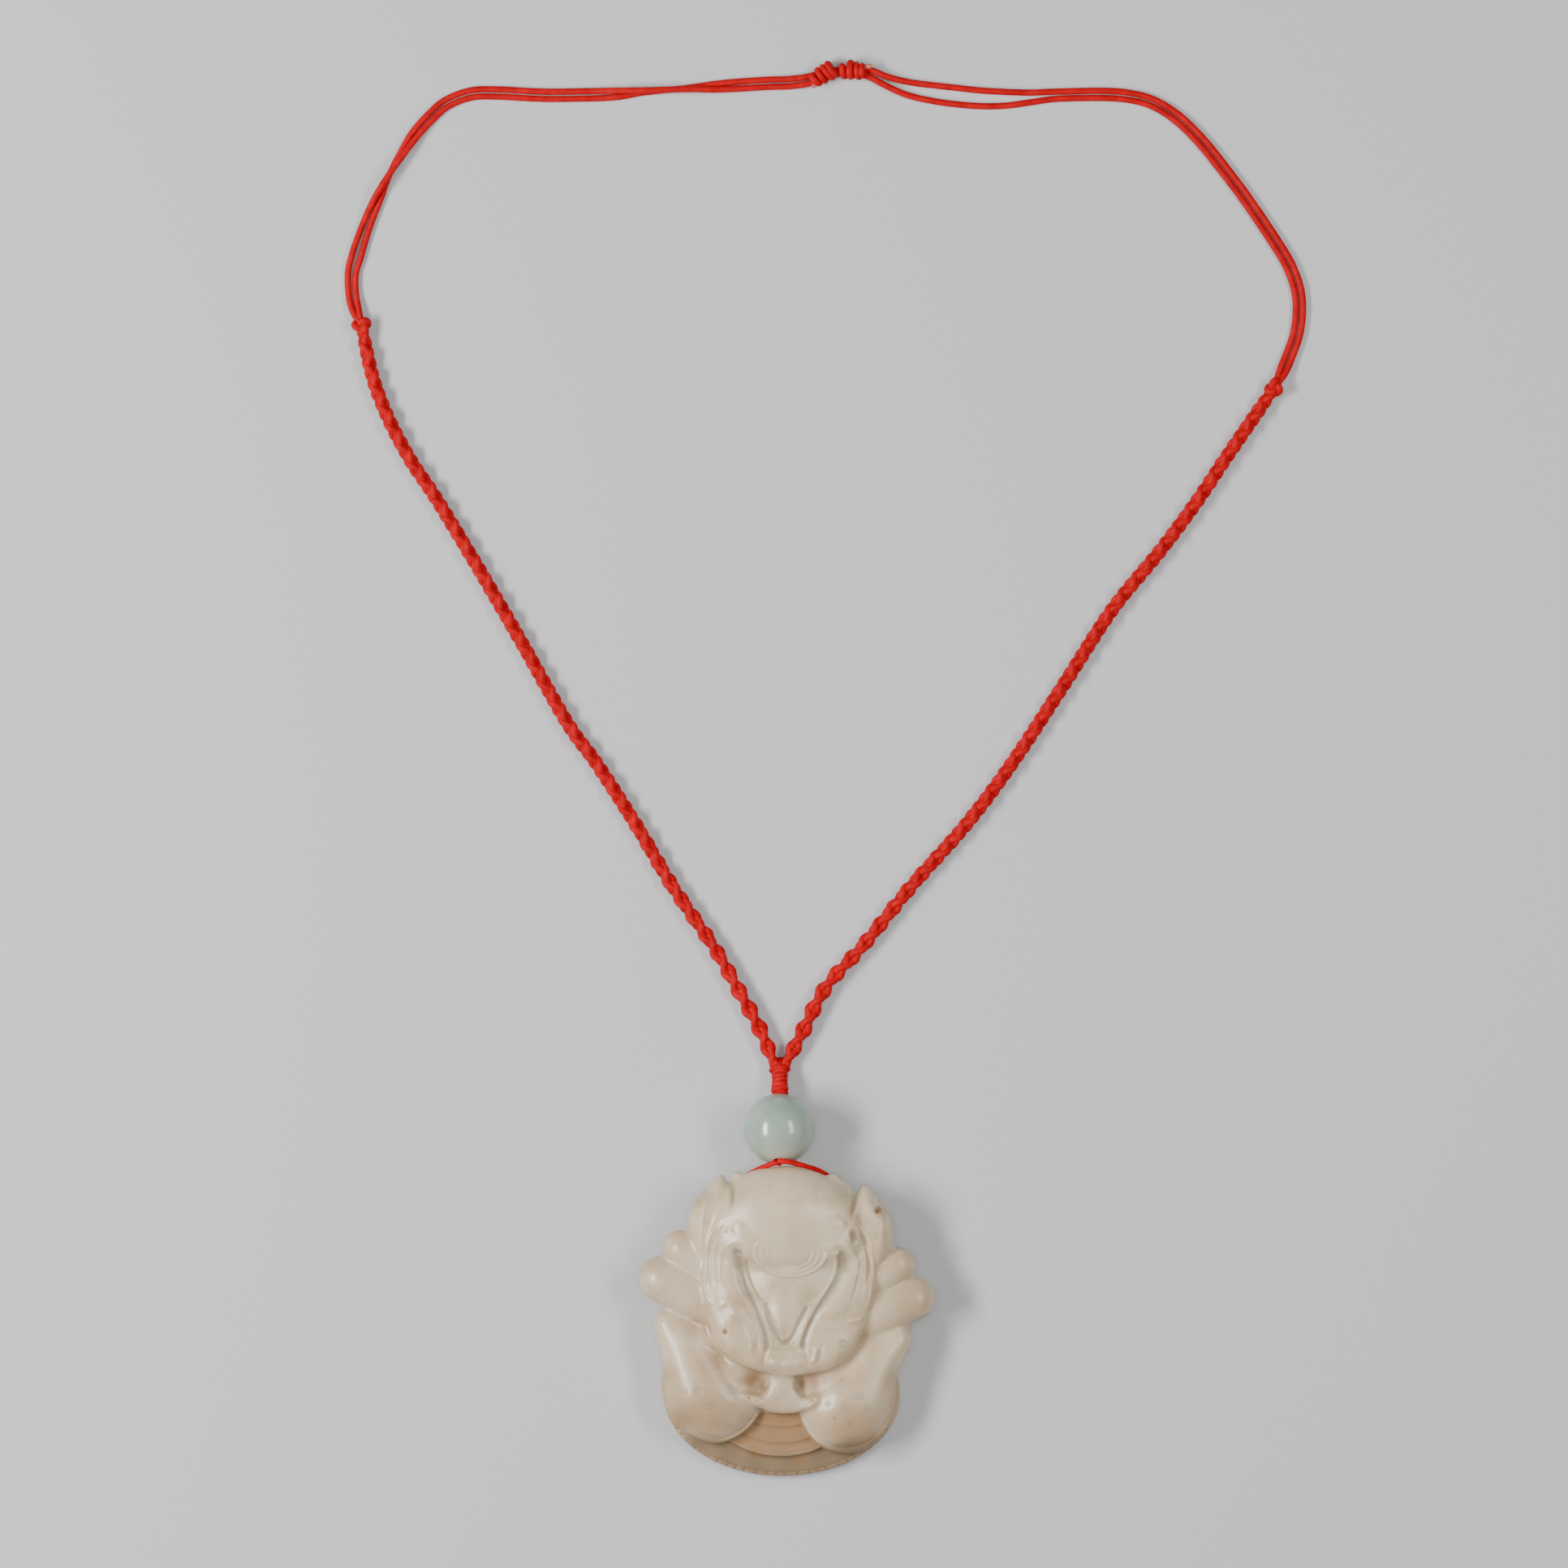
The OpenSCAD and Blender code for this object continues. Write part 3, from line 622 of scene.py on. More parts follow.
def binding_turns():
    """Cord wound round the feet of both braids, with the threads that rise between them."""
    slope = Matrix.Rotation(-math.pi / 2 - WRAP_SLOPE, 4, "X")
    put = Matrix.Translation(WRAP_FOOT) @ slope
    radius = WRAP_D / 2 - WRAP_CORD_R
    wound = []
    count = 40 * WRAP_TURNS
    for i in range(count + 1):
        t = i / count
        angle = 2 * math.pi * WRAP_TURNS * t
        along = WRAP_CORD_R - 0.3 + t * (WRAP_L - 2 * WRAP_CORD_R + 0.3)
        wide = 1 + 0.06 * math.sin(9 * t) - 0.1 * t
        wound.append((wide * radius * math.cos(angle), radius * math.sin(angle),
                      along + 0.1 * math.sin(2.6 * angle)))
    meshes = [tube_mesh("turns", [tuple(put @ Vector(p)) for p in wound], WRAP_CORD_R, detail=4)]
    core = [tuple(put @ Vector((0, 0, -0.45 + k * (WRAP_L + 0.35) / 6))) for k in range(7)]
    meshes.append(tube_mesh("core", core, radius + 0.15, detail=6))
    for aside in (-0.86, 0, 0.86):
        rib = [
            tuple(put @ Vector((aside, -1.15 + 0.03 * k * k, WRAP_L - 1.0 + 0.5 * k)))
            for k in range(8)
        ]
        meshes.append(tube_mesh("rib", rib, RIB_R))
    broad = []
    for i in range(48):
        angle = 2 * math.pi * i / 48
        broad.append(tuple(put @ Vector((2.05 * math.cos(angle), 1.62 * math.sin(angle),
                                         WRAP_L - 0.35 + 0.2 * math.cos(angle)))))
    meshes.append(tube_mesh("broad_turn", broad, BROAD_TURN_R, closed=True))
    cord_piece("binding_turns", gathered("binding_turns", meshes))


def hanging_loop():
    """The loop leaves the binding turns, runs through the bead and round the brow, and crosses
    the carving in its tunnel."""
    mouth = BEAD_CENTRE - BEAD_D / 2 * HOLE_WAY
    up = Vector((0, -HOLE_WAY.z, HOLE_WAY.y))
    side = []
    for sign in (-1, 1):
        # the right strand leaves the hole over the left one
        off = 0.64 * sign * up + Vector((0.1 * sign, 0, 0))
        through = [
            WRAP_FOOT - 0.12 * WRAP_WAY, BEAD_CENTRE, mouth + 0.3 * HOLE_WAY,
            mouth - 0.2 * HOLE_WAY,
        ]
        side.append([
            *(tuple(place + off) for place in through), *(LOOP_LEFT if sign < 0 else LOOP_RIGHT),
            (BROW_X + sign * 11, TUNNEL_Y + 1.6, TUNNEL_Z + 0.9),
            (BROW_X + sign * 11.4, TUNNEL_Y + 0.1, TUNNEL_Z),
            (BROW_X + sign * 9.4, TUNNEL_Y, TUNNEL_Z), (BROW_X + sign * 6, TUNNEL_Y, TUNNEL_Z),
        ])
    route = Route(side[0] + side[1][::-1])
    path = [tuple(route.at(route.length * i / 260)) for i in range(261)]
    cord_piece("hanging_loop", tube_mesh("hanging_loop", path, LOOP_D / 2))


# The loop's way round the brow, from under the bead to each mouth of the tunnel
LOOP_LEFT = [(-2.5, 35.95, 11.5), (-4, 35.4, 11), (-5.9, 34.6, 10.1), (-7.9, 33.55, 8.8),
             (-9.6, 32.4, 7.6)]
LOOP_RIGHT = [(-0.4, 36.3, 12.7), (1.6, 35.95, 12.1), (4.7, 35, 10.7), (7, 34.2, 9.2),
              (9.1, 33, 7.8)]

binding_turns()
hanging_loop()


# Bead


def jade_bead():
    """The bead's section, from the lip of its hole round to the other lip and back through the
    bore, is spun about the hole."""
    bm = bmesh.new()
    hole = BEAD_HOLE_D / 2
    radius = BEAD_D / 2
    lip = math.asin((hole + 0.15) / radius)
    section = []
    for i in range(49):
        a = lip + (math.pi - 2 * lip) * i / 48
        section.append((radius * math.sin(a), radius * math.cos(a)))
    edge = radius * math.cos(lip)
    section += [(hole + 0.05, -edge - 0.02), (hole, -edge + 0.2)]
    section += [(hole, -edge + 0.2 + (2 * edge - 0.4) * k / 8) for k in range(1, 9)]
    section += [(hole + 0.05, edge + 0.02)]
    verts = [bm.verts.new((r, 0, z)) for r, z in section]
    edges = [bm.edges.new((a, b)) for a, b in zip(verts, verts[1:] + verts[:1])]
    bmesh.ops.spin(
        bm, geom=verts + edges, cent=(0, 0, 0), axis=(0, 0, 1), angle=2 * math.pi, steps=96,
        use_merge=True, dvec=(0, 0, 0), use_duplicate=False,
    )
    bmesh.ops.remove_doubles(bm, verts=bm.verts, dist=0.0005)
    bmesh.ops.recalc_face_normals(bm, faces=bm.faces)
    warm = bm.verts.layers.float.new("warm")
    for v in bm.verts:
        v[warm] = 0.7 * max(0, (abs(v.co.z) / radius - 0.6) / 0.4) ** 1.5
    turn = Matrix.Rotation(-math.pi / 2 - BEAD_SLOPE, 4, "X")
    bmesh.ops.transform(bm, matrix=Matrix.Translation(BEAD_CENTRE) @ turn, verts=bm.verts)
    bmesh.ops.scale(bm, vec=(MM, MM, MM), verts=bm.verts)
    mesh = made_mesh("jade_bead", bm)
    shade_smooth(mesh)
    new_piece("jade_bead", mesh, ["jade_bead"], green_jade)


jade_bead()


# Carving: rounded forms, joined and skinned, then cut with the relief

# Each form is a row of rounded ends joined one to the next: (x, y, radius, middle, half height)
FORMS = [
    # body
    [(-0.5, -2.1, 25, 2.6, 6.5), (0.1, 7, 22, 3.6, 7.6)],
    # brow, from ear to ear
    [(-7.5, 20.5, 11.8, 9.8, 8.4), (-3.6, 22.1, 12.7, 10.6, 8.8), (0.7, 23, 12.3, 10.8, 9.1),
     (2.8, 22.4, 12.2, 10.6, 8.8), (8.2, 20.2, 11.4, 9.8, 8.4)],
    # face below the brow
    [(0.5, 13.4, 15.5, 8.6, 8.0), (0.4, 0, 13.2, 8.4, 7.2)],
    # side knuckles, each a finger that comes out from under the face
    [(-23.8, 16.7, 4.0, 7.8, 5), (-16, 11.6, 5.4, 8, 4.8)],
    [(-28.2, 9.7, 5.1, 7, 5.4), (-17, 4.6, 6.2, 7.8, 5.2)],
    [(25, 12.9, 4.1, 7.8, 5), (17.5, 8.6, 5.6, 8, 4.8)],
    [(28.6, 5.2, 4.9, 7, 5.4), (17.5, 1.4, 6, 7.8, 5.2)],
    # wrists, and the knuckles at their ends
    [(-18.4, -15, 8.4, 6, 7.4), (-22.6, -5.6, 5.8, 7, 5.2), (-26.3, -0.8, 3.7, 7, 4)],
    [(15, -17.4, 8.6, 6, 7.4), (20.2, -8.4, 5.6, 7, 5.2), (25, -3.7, 3.4, 7, 4)],
    # arms that join the claws to the face
    [(-23, -4, 4.4, 6.6, 4.2), (-14, -3, 6, 7, 4.4)],
    [(22, -4.4, 3.6, 6.6, 4.2), (14, -4, 6, 7, 4.4)],
    # claw roots behind the chin
    [(-17.2, -16.6, 8, 6.4, 5.6), (-8.4, -9.5, 6.8, 6.2, 4.6)],
    [(14, -18.8, 8, 6.4, 5.6), (8.4, -9.5, 6.8, 6.2, 4.6)],
    # chin and nose block
    [(-2.8, -8.6, 3.2, 9.6, 5.6), (2.4, -8.6, 3.2, 9.6, 5.6)],
    # floor of the hollows under the chin
    [(-8.4, -13.4, 3.4, 6.4, 3.5), (6.2, -13.6, 3.4, 6.4, 3.5)],
    # neck of the snout, and its two eye stalks
    [(-1.2, -11.4, 3.1, 7.8, 4.5), (-1.2, -15, 3.2, 7.4, 4.5)],
    [(-4.2, -18.4, 1.5, 8.6, 2.8), (-7.2, -17.4, 1.6, 9.6, 2.8), (-9.3, -16.6, 0.9, 10.2, 2.4)],
    [(2.6, -18.9, 1.5, 8.6, 2.8), (5.2, -18.2, 1.6, 9.6, 2.8), (6.6, -17.2, 1.1, 10.2, 2.4)],
]

# Outlined forms: (outline, low, edge height, top height, middle of the crown, roundness, swell).
# A swell of 0.5 is a rounded shoulder, and of 1 an even dome that falls straight to its edge.
FACE_OUTLINE = [
    (-13, 24), (-15.8, 21.9), (-17.4, 19.3), (-18.7, 15.9), (-19.0, 11.6), (-19.0, 7.3),
    (-18.5, 4.1), (-17.6, 0.9), (-16.5, -2.9), (-14.8, -6), (-12.3, -8.4), (-8.2, -10.4),
    (-4.7, -11.4), (-1, -12), (2.8, -11.9), (6, -11.5), (10, -10.6), (13.3, -8.3), (16, -4.5),
    (18.1, -0.7), (19.3, 3), (20.1, 7.3), (20.4, 11.6), (20, 16), (18.9, 19.5), (17, 22.6),
    (13.5, 25), (5, 27), (-5, 27),
]
LEFT_EAR = [
    (-14.4, 33.2), (-15.8, 32.5), (-17.4, 31), (-19.1, 29.2), (-20.5, 27.4), (-21.5, 25.4),
    (-22.1, 23.2), (-22.2, 20.6), (-21.8, 17.5), (-20.8, 14.5), (-19, 12), (-17, 13), (-15.6, 17),
    (-14.2, 21), (-13, 25), (-13, 29), (-13.4, 31.4), (-13.8, 32.7),
]
RIGHT_EAR = [
    (17.6, 31), (18.7, 30.3), (20.1, 28.3), (21.8, 26.2), (23.2, 24.2), (23.9, 21.3), (24, 18.5),
    (23.5, 15.6), (22.3, 12.5), (20.6, 10), (18.8, 11), (17.6, 15), (16.4, 19), (15.4, 23),
    (15, 26.4), (15.8, 28.6), (16.8, 30.2),
]
LEFT_CLAW = [
    (-27.5, -8.4), (-27.7, -10.6), (-28.1, -13), (-28.1, -15.4), (-27.8, -17.4), (-27.1, -19.4),
    (-25.9, -21.6), (-24.1, -23.6), (-21.3, -25.6), (-18.3, -27), (-15.7, -27.5), (-13.2, -27),
    (-10.6, -25.7), (-8.4, -23.9), (-6.9, -21.9), (-5.6, -19.8), (-7, -16), (-8.6, -12.4),
    (-12, -8.8), (-16.5, -6), (-21.4, -4.8), (-25.8, -5.6),
]
RIGHT_CLAW = [
    (24.9, -11.2), (24.8, -13.4), (24.8, -15.8), (24.6, -18.2), (24, -20.8), (22.9, -23.2),
    (21.6, -25.3), (20, -27.3), (17.6, -28.8), (14.8, -29.5), (12, -29.5), (9.5, -29), (7, -27.5),
    (5, -25.3), (3.7, -23), (3, -20.6), (4.4, -16), (7, -12), (10.6, -9), (14.6, -7), (19, -6.2),
    (22.8, -7.8),
]
SNOUT = [
    (-3.4, -11.5), (-4.2, -13), (-4.5, -15), (-5.2, -16.6), (-5.5, -18.4), (-4.6, -19.9),
    (-2.8, -20.5), (0, -20.7), (2.6, -20.4), (3.9, -19.5), (4.4, -18.2), (3.4, -16.6),
    (2.3, -15), (2, -13.2), (2.2, -11.5),
]
LEFT_LUG = [(-12.6, 32.3), (-12.4, 33.2), (-11.5, 33.8), (-10.2, 33.7), (-9.5, 32.8), (-9.6, 31.4),
            (-11.6, 31)]
RIGHT_LUG = [
    (9.2, 32.6), (9.9, 33.5), (11.2, 33.3), (11.6, 32.6), (12.1, 32.4), (12.9, 31.6), (13.6, 31.3),
    (14.5, 30.7), (14.6, 30), (13.8, 29.5), (12, 29.2), (10, 30.2),
]
OUTLINED = [
    (FACE_OUTLINE, 4, 12.2, 15.6, (0.5, 8), 0.42, 0.5),
    (LEFT_EAR, 5.5, 8.6, 14.8, (-17.2, 22.6), 0.7, 0.5),
    (RIGHT_EAR, 5.5, 8.6, 14.8, (19, 20.6), 0.7, 0.5),
    (LEFT_CLAW, 2, 7.6, 13.5, (-17.6, -15.4), 1.0, 0.9),
    (RIGHT_CLAW, 2, 7.6, 13.5, (14.2, -17.6), 1.0, 0.9),
    (SNOUT, 5, 9.8, 11.6, (-1, -16.6), 0.4, 0.5),
    (LEFT_LUG, 5, 10.2, 11.4, (-11, 32.2), 0.5, 0.5),
    (RIGHT_LUG, 5, 10.2, 11.4, (11.4, 31.2), 0.5, 0.5),
]

# Steps of the shell's lower rim: (x, y, x radius, y radius, outer height, inner height)
RIM_STEPS = [
    (-1, -16.8, 26.9, 18.4, 3.2, 4.6),
    (-1.2, -16.2, 17.6, 14.4, 5.4, 5.6),
    (-1.2, -16.2, 14.6, 11.3, 5.8, 6),
    (-1.2, -16.2, 11.6, 7.7, 6.2, 6.4),
]


def limb(bm, ends, across=56):
    """A row of rounded ends, each joined to the next in one smooth form."""
    for a, b in zip(ends, ends[1:]):
        piece = bmesh.new()
        for x, y, radius, middle, half in (a, b):
            put = Matrix.Translation((x, y, middle)) @ Matrix.Diagonal((radius, radius, half, 1))
            bmesh.ops.create_uvsphere(
                piece, u_segments=across, v_segments=across // 2, radius=1, matrix=put
            )
        skin = bmesh.ops.convex_hull(piece, input=piece.verts)
        inner = {v for v in skin["geom_interior"] + skin["geom_unused"]
                 if isinstance(v, bmesh.types.BMVert)}
        bmesh.ops.delete(piece, geom=list(inner), context="VERTS")
        add_to(bm, piece)


def add_to(bm, piece):
    """One form is added to the rest, and let go."""
    part = made_mesh("part", piece)
    bm.from_mesh(part)
    bpy.data.meshes.remove(part)


def raise_ring(bm, ring, middle, shrink, z):
    """The ring's edges are drawn up into a new ring, nearer the middle and at height z."""
    made = bmesh.ops.extrude_edge_only(bm, edges=ring)["geom"]
    ring = [e for e in made if isinstance(e, bmesh.types.BMEdge)]
    verts = [v for v in made if isinstance(v, bmesh.types.BMVert)]
    for v in verts:
        v.co.x = middle[0] + (v.co.x - middle[0]) * shrink
        v.co.y = middle[1] + (v.co.y - middle[1]) * shrink
        v.co.z = z
    return ring


def crowned(bm, outline, low, edge, top, middle, roundness, swell, rings=14):
    """An outline drawn up to its edge height and closed with a rounded crown."""
    piece = bmesh.new()
    route = Route(outline, closed=True, per_span=5)
    verts = [piece.verts.new((x, y, low)) for x, y in route.line[:-1]]
    face = piece.faces.new(verts)
    ring = raise_ring(piece, list(face.edges), middle, 1, edge)
    share = 1.0
    for i in range(1, rings + 1):
        a = math.pi / 2 * i / rings
        target = max(math.cos(a), 0.02) ** roundness
        height = edge + (top - edge) * math.sin(a) ** (2 * swell)
        ring = raise_ring(piece, ring, middle, target / share, height)
        share = target
    bmesh.ops.contextual_create(piece, geom=ring)
    bmesh.ops.recalc_face_normals(piece, faces=piece.faces)
    add_to(bm, piece)


def rim_step(bm, row):
    """A low oval step of the shell, drawn in a little at its foot and rising to its middle."""
    x, y, radius_x, radius_y, outer, inner = row
    piece = bmesh.new()
    put = Matrix.Translation((x, y, outer / 2)) @ Matrix.Diagonal((radius_x, radius_y, outer, 1))
    bmesh.ops.create_cone(
        piece, cap_ends=True, segments=120, radius1=0.97, radius2=1, depth=1, matrix=put
    )
    top = [f for f in piece.faces if f.normal.z > 0.9]
    ring = list(top[0].edges)
    bmesh.ops.delete(piece, geom=top, context="FACES_ONLY")
    for k in range(1, 6):
        ring = raise_ring(piece, ring, (x, y), (1 - 0.12 * k) / (1.12 - 0.12 * k),
                          outer + (inner - outer) * (k / 5))
    bmesh.ops.contextual_create(piece, geom=ring)
    bmesh.ops.recalc_face_normals(piece, faces=piece.faces)
    add_to(bm, piece)


def skinned(bm, voxel):
    """All the overlapping forms under one even skin."""
    rough = made_mesh("rough_carving", bm)
    block = shown("rough_carving", rough)
    remesh = block.modifiers.new("skin", "REMESH")
    remesh.mode = "VOXEL"
    remesh.voxel_size = voxel
    depsgraph = bpy.context.evaluated_depsgraph_get()
    skin = bpy.data.meshes.new_from_object(block.evaluated_get(depsgraph))
    bpy.data.objects.remove(block)
    bpy.data.meshes.remove(rough)
    return skin


# Lower edges of the claws, each drawn from left to right
LEFT_LIP = [
    (-26.6, -19.4), (-25.4, -21.5), (-23.7, -23.3), (-21, -25.2), (-18.2, -26.5), (-15.7, -27),
    (-13.4, -26.5), (-10.9, -25.3), (-8.8, -23.6), (-7.4, -21.8), (-6.2, -20),
]
RIGHT_LIP = [
    (3.7, -20.8), (4.3, -22.8), (5.5, -25), (7.3, -27.1), (9.7, -28.5), (12.1, -29), (14.7, -29),
    (17.4, -28.3), (19.7, -26.9), (21.2, -25), (22.4, -23), (23.5, -20.7),
]

# Lines of the relief: (depth, width on the left of the line, width on its right, share of the line
# that fades in, share that fades out, line). A negative depth raises a ridge.
CUTS = [
    # broad swells of the cheeks
    (-0.5, 3.4, 3.4, 0.2, 0.2, [(-13.6, 14.6), (-13.2, 10), (-11.8, 5), (-9.8, 0)]),
    (-0.45, 3.2, 3.2, 0.2, 0.2, [(15.2, 13.4), (13.8, 8.6), (11.4, 4), (9, 0)]),
    # ridges between the slots and the groove, which widen to facets at their feet
    (-0.2, 0.6, 0.6, 0.25, 0.05, [(-5.7, 3.4), (-4.7, 0.2), (-3.8, -2.8), (-3.2, -5.6)]),
    (-0.2, 0.6, 0.6, 0.25, 0.05, [(5.6, 2.6), (4.2, -0.4), (3, -3.2), (2.2, -5.4)]),
    # left lid, over the top of its slot, and the ridges behind it
    (-0.26, 1.1, 1.1, 0.15, 0.3, [(-8.4, 17.4), (-9.8, 18.4), (-11.6, 18.4), (-13.4, 17.6),
     (-14.6, 16), (-15.1, 13.4), (-15.1, 10.4), (-14.6, 7.6)]),
    (0.24, 0.7, 0.6, 0.2, 0.4, [(-14.8, 18.4), (-15.8, 16.2), (-16.1, 13.6), (-16.1, 10.8),
     (-15.8, 8)]),
    (-0.3, 0.45, 0.45, 0.15, 0.25, [(-13, 24.2), (-15, 22.9), (-16.6, 20.8), (-17.6, 18),
     (-18, 14.6), (-18.1, 11.2), (-18.4, 8.2), (-18, 5.9), (-16.9, 4.5), (-15, 3.8)]),
    (0.24, 0.5, 0.5, 0.2, 0.25, [(-13.8, 22.6), (-15.4, 21), (-16.6, 18.4), (-17.1, 15),
     (-17.2, 11.6), (-17.3, 8.4), (-16.9, 6.4)]),
    (-0.16, 0.4, 0.4, 0.25, 0.3, [(-13.2, 21.4), (-14.6, 20), (-15.8, 17.6), (-16.4, 14.4),
     (-16.5, 11.6)]),
    # right lid and ridges
    (-0.26, 1.1, 1.1, 0.15, 0.3, [(9.2, 16.6), (10.4, 17.6), (12.2, 17.9), (14, 17), (15.3, 15),
     (16, 12.4), (16.3, 9.4)]),
    (0.22, 0.6, 0.6, 0.2, 0.3, [(16.6, 14.6), (16.4, 12), (15.9, 9.4), (15.2, 6.6), (14.5, 3.6)]),
    (-0.22, 0.5, 0.5, 0.2, 0.3, [(16.2, 20), (17.1, 17.6), (17.6, 14.6), (17.8, 11.4),
     (17.5, 8.6)]),
    (0.24, 0.5, 0.5, 0.2, 0.3, [(16.8, 21), (17.8, 18.4), (18.4, 15.4), (18.6, 12), (18.2, 8.4)]),
    (-0.3, 0.45, 0.45, 0.15, 0.2, [(16.2, 22.8), (17.6, 20.6), (18.7, 17.8), (19.3, 14.8),
     (19.4, 11.6), (19, 8), (18.4, 4.8), (17.2, 1)]),
    # leaf at the lower left of the face
    (-0.22, 0.8, 0.8, 0.15, 0.2, [(-13, 3), (-10.8, 2), (-9.2, 0), (-8.3, -2.4), (-7.9, -4.8),
     (-8.3, -7.6)]),
    (0.22, 0.8, 0.8, 0.15, 0.2, [(-12.4, 4.4), (-9.6, 3.1), (-7.8, 0.9), (-6.8, -1.8), (-6.5, -4.6),
     (-6.9, -7.8)]),
    (0.14, 0.5, 0.5, 0.2, 0.2, [(-12.4, 1.7), (-10.9, 0.7), (-9.9, -1), (-9.5, -3), (-9.5, -5.4)]),
    (-0.14, 0.9, 0.9, 0, 0, [(-14.4, 4.2), (-14.1, 4.3)]),
    (-0.5, 4.2, 4.2, 0, 0, [(-13, -0.6), (-12.4, -3.6)]),
    # right cheek, with its short upright ridge
    (-0.35, 3.2, 3.2, 0, 0, [(11.6, -4.6), (10.6, -6.8)]),
    (-0.4, 0.85, 0.85, 0.15, 0.2, [(6.6, -5), (6.5, -7), (5.8, -9.2)]),
    (0.22, 0.6, 0.6, 0.15, 0.25, [(3.9, -3.9), (4.3, -6.4), (4.6, -8.6), (5.6, -10.4)]),
    (0.18, 0.7, 0.7, 0.25, 0.25, [(8, -4), (7.9, -6.4), (7.3, -9.2)]),
    (-0.26, 0.4, 0.4, 0.2, 0.2, [(13.2, 0.5), (15, 0.6), (17.2, 0.9)]),
    (0.1, 1, 0.9, 0.2, 0.2, [(13.6, -0.8), (15.4, -0.8), (17.4, -0.5)]),
    # nose block and mouth
    (0.2, 1, 1, 0.15, 0.15, [(-4, -6.4), (-2.4, -6.2), (0, -6.1), (3.2, -6.3)]),
    (0.3, 0.8, 0.6, 0.15, 0.3, [(-4.4, -5.6), (-4.9, -7.2), (-5.3, -8.8), (-4.6, -10.4)]),
    (-0.22, 1.2, 1.2, 0, 0, [(-2.9, -8.9), (-2.6, -8.9)]),
    (-0.2, 1.2, 1.2, 0, 0, [(-0.1, -9.2), (0.2, -9.2)]),
    # ears: the valley beside the brow, and the crease down each one
    (0.9, 0.7, 1.0, 0, 0.4, [(-12.4, 32.4), (-12.2, 30.4), (-12.2, 28), (-12.9, 25.4)]),
    (0.8, 1.0, 0.7, 0, 0.4, [(15, 29.6), (15.2, 27.6), (14.9, 25.4), (14.2, 23.6)]),
    (-0.36, 0.7, 0.6, 0.2, 0.3, [(-16.6, 29.4), (-18.4, 26), (-19.1, 22.4), (-19.2, 18.6),
     (-18.9, 14.8)]),
    (-0.34, 0.6, 0.7, 0.1, 0.3, [(18.2, 30.4), (19.6, 28.5), (20.7, 26.2), (21.4, 23), (21.2, 19)]),
    # hollows and knobs beside the brow
    (0.15, 1.3, 1.3, 0.5, 0.5, [(-12.6, 22.4), (-12.8, 21), (-12.6, 19.6)]),
    (0.6, 1.3, 1, 0.35, 0.35, [(14.6, 21.4), (15.1, 19.6), (15.2, 17.4)]),
    (-0.28, 2.3, 2.3, 0, 0, [(-10.7, 21.4), (-10.2, 20)]),
    (-0.3, 1.6, 1.6, 0, 0, [(-8.9, 17.8), (-8.5, 17)]),
    (-0.3, 1.1, 1.1, 0, 0, [(9.3, 15.4), (9.5, 14.9)]),
    (-0.3, 2, 2, 0, 0, [(11.2, 23), (12.1, 22.4)]),
    # slits of the eye stalks
    (0.3, 0.35, 0.35, 0.2, 0.2, [(-9.4, -16.6), (-8.4, -16.8), (-7, -17.5), (-6, -18.2)]),
    (0.3, 0.35, 0.35, 0.2, 0.2, [(6.7, -17.2), (5.9, -17.5), (4.8, -18.3), (3.9, -18.8)]),
    # lips of the claws
    (-0.16, 0.4, 0.4, 0.1, 0.1, LEFT_LIP), (-0.16, 0.4, 0.4, 0.1, 0.1, RIGHT_LIP),
    (0.2, 1.1, 0, 0.1, 0.1, [(x + 0.35, y + 0.5) for x, y in LEFT_LIP]),
    (0.2, 1.1, 0, 0.1, 0.1, [(x - 0.1, y + 0.6) for x, y in RIGHT_LIP]),
]

# Slots beside the beak and the groove round its tip: (depth, half width at the head, half width at
# the foot, side that slopes gently, line)
SLOTS = [
    (0.6, 1.45, 0.8, -1, [(-10.8, 15.8), (-10.4, 14.2), (-10, 12.2), (-9.5, 10.2), (-8.9, 8.2),
     (-8, 6.2), (-6.8, 3.4), (-5.8, 0.6), (-4.9, -2), (-4.4, -4.2), (-4.3, -5.6)]),
    (0.6, 1.5, 0.75, 1, [(12.2, 14.8), (12.4, 13.4), (12.2, 12), (11.8, 10.9), (11, 9.2),
     (9.9, 7.5), (8.8, 5.9), (7.5, 4), (6.3, 2), (5.3, 0), (4.5, -1.9), (3.9, -3.8), (3.6, -5.4)]),
    (0.45, 1, 0.95, 0, [(-4.6, 4.2), (-4.1, 2.6), (-3.5, 0.7), (-2.8, -1.3), (-2, -3.1),
     (-1.2, -4.2), (-0.3, -4.4), (0.6, -3.9), (1.5, -2.6), (2.3, -0.9), (3.1, 0.8), (3.8, 2.1),
     (4.5, 3.4)]),
]

# Edges of the beak, from under the medallion to its tip
BEAK_LEFT = [
    (-10, 15.6), (-9.4, 12.8), (-8.6, 10), (-7.5, 7.4), (-6, 5.2), (-4.1, 3.8), (-3.2, 1.8),
    (-2.4, -0.2), (-1.5, -2.2), (-0.5, -3.5),
]
BEAK_RIGHT = [
    (11.2, 15), (11, 11.6), (9.8, 9), (8.2, 6.8), (6, 4.8), (4, 3.4), (3, 1.6), (1.9, -0.6),
    (0.8, -2.3), (-0.5, -3.5),
]

# The gentle side of a slot is this much wider, and a line cut deeper than this looks warm
GENTLE_SIDE = 1.8
WARM_DEPTH = 0.25

# The beak's flanks rise over this length from its edges, and no further
FLANK_RUN = 5

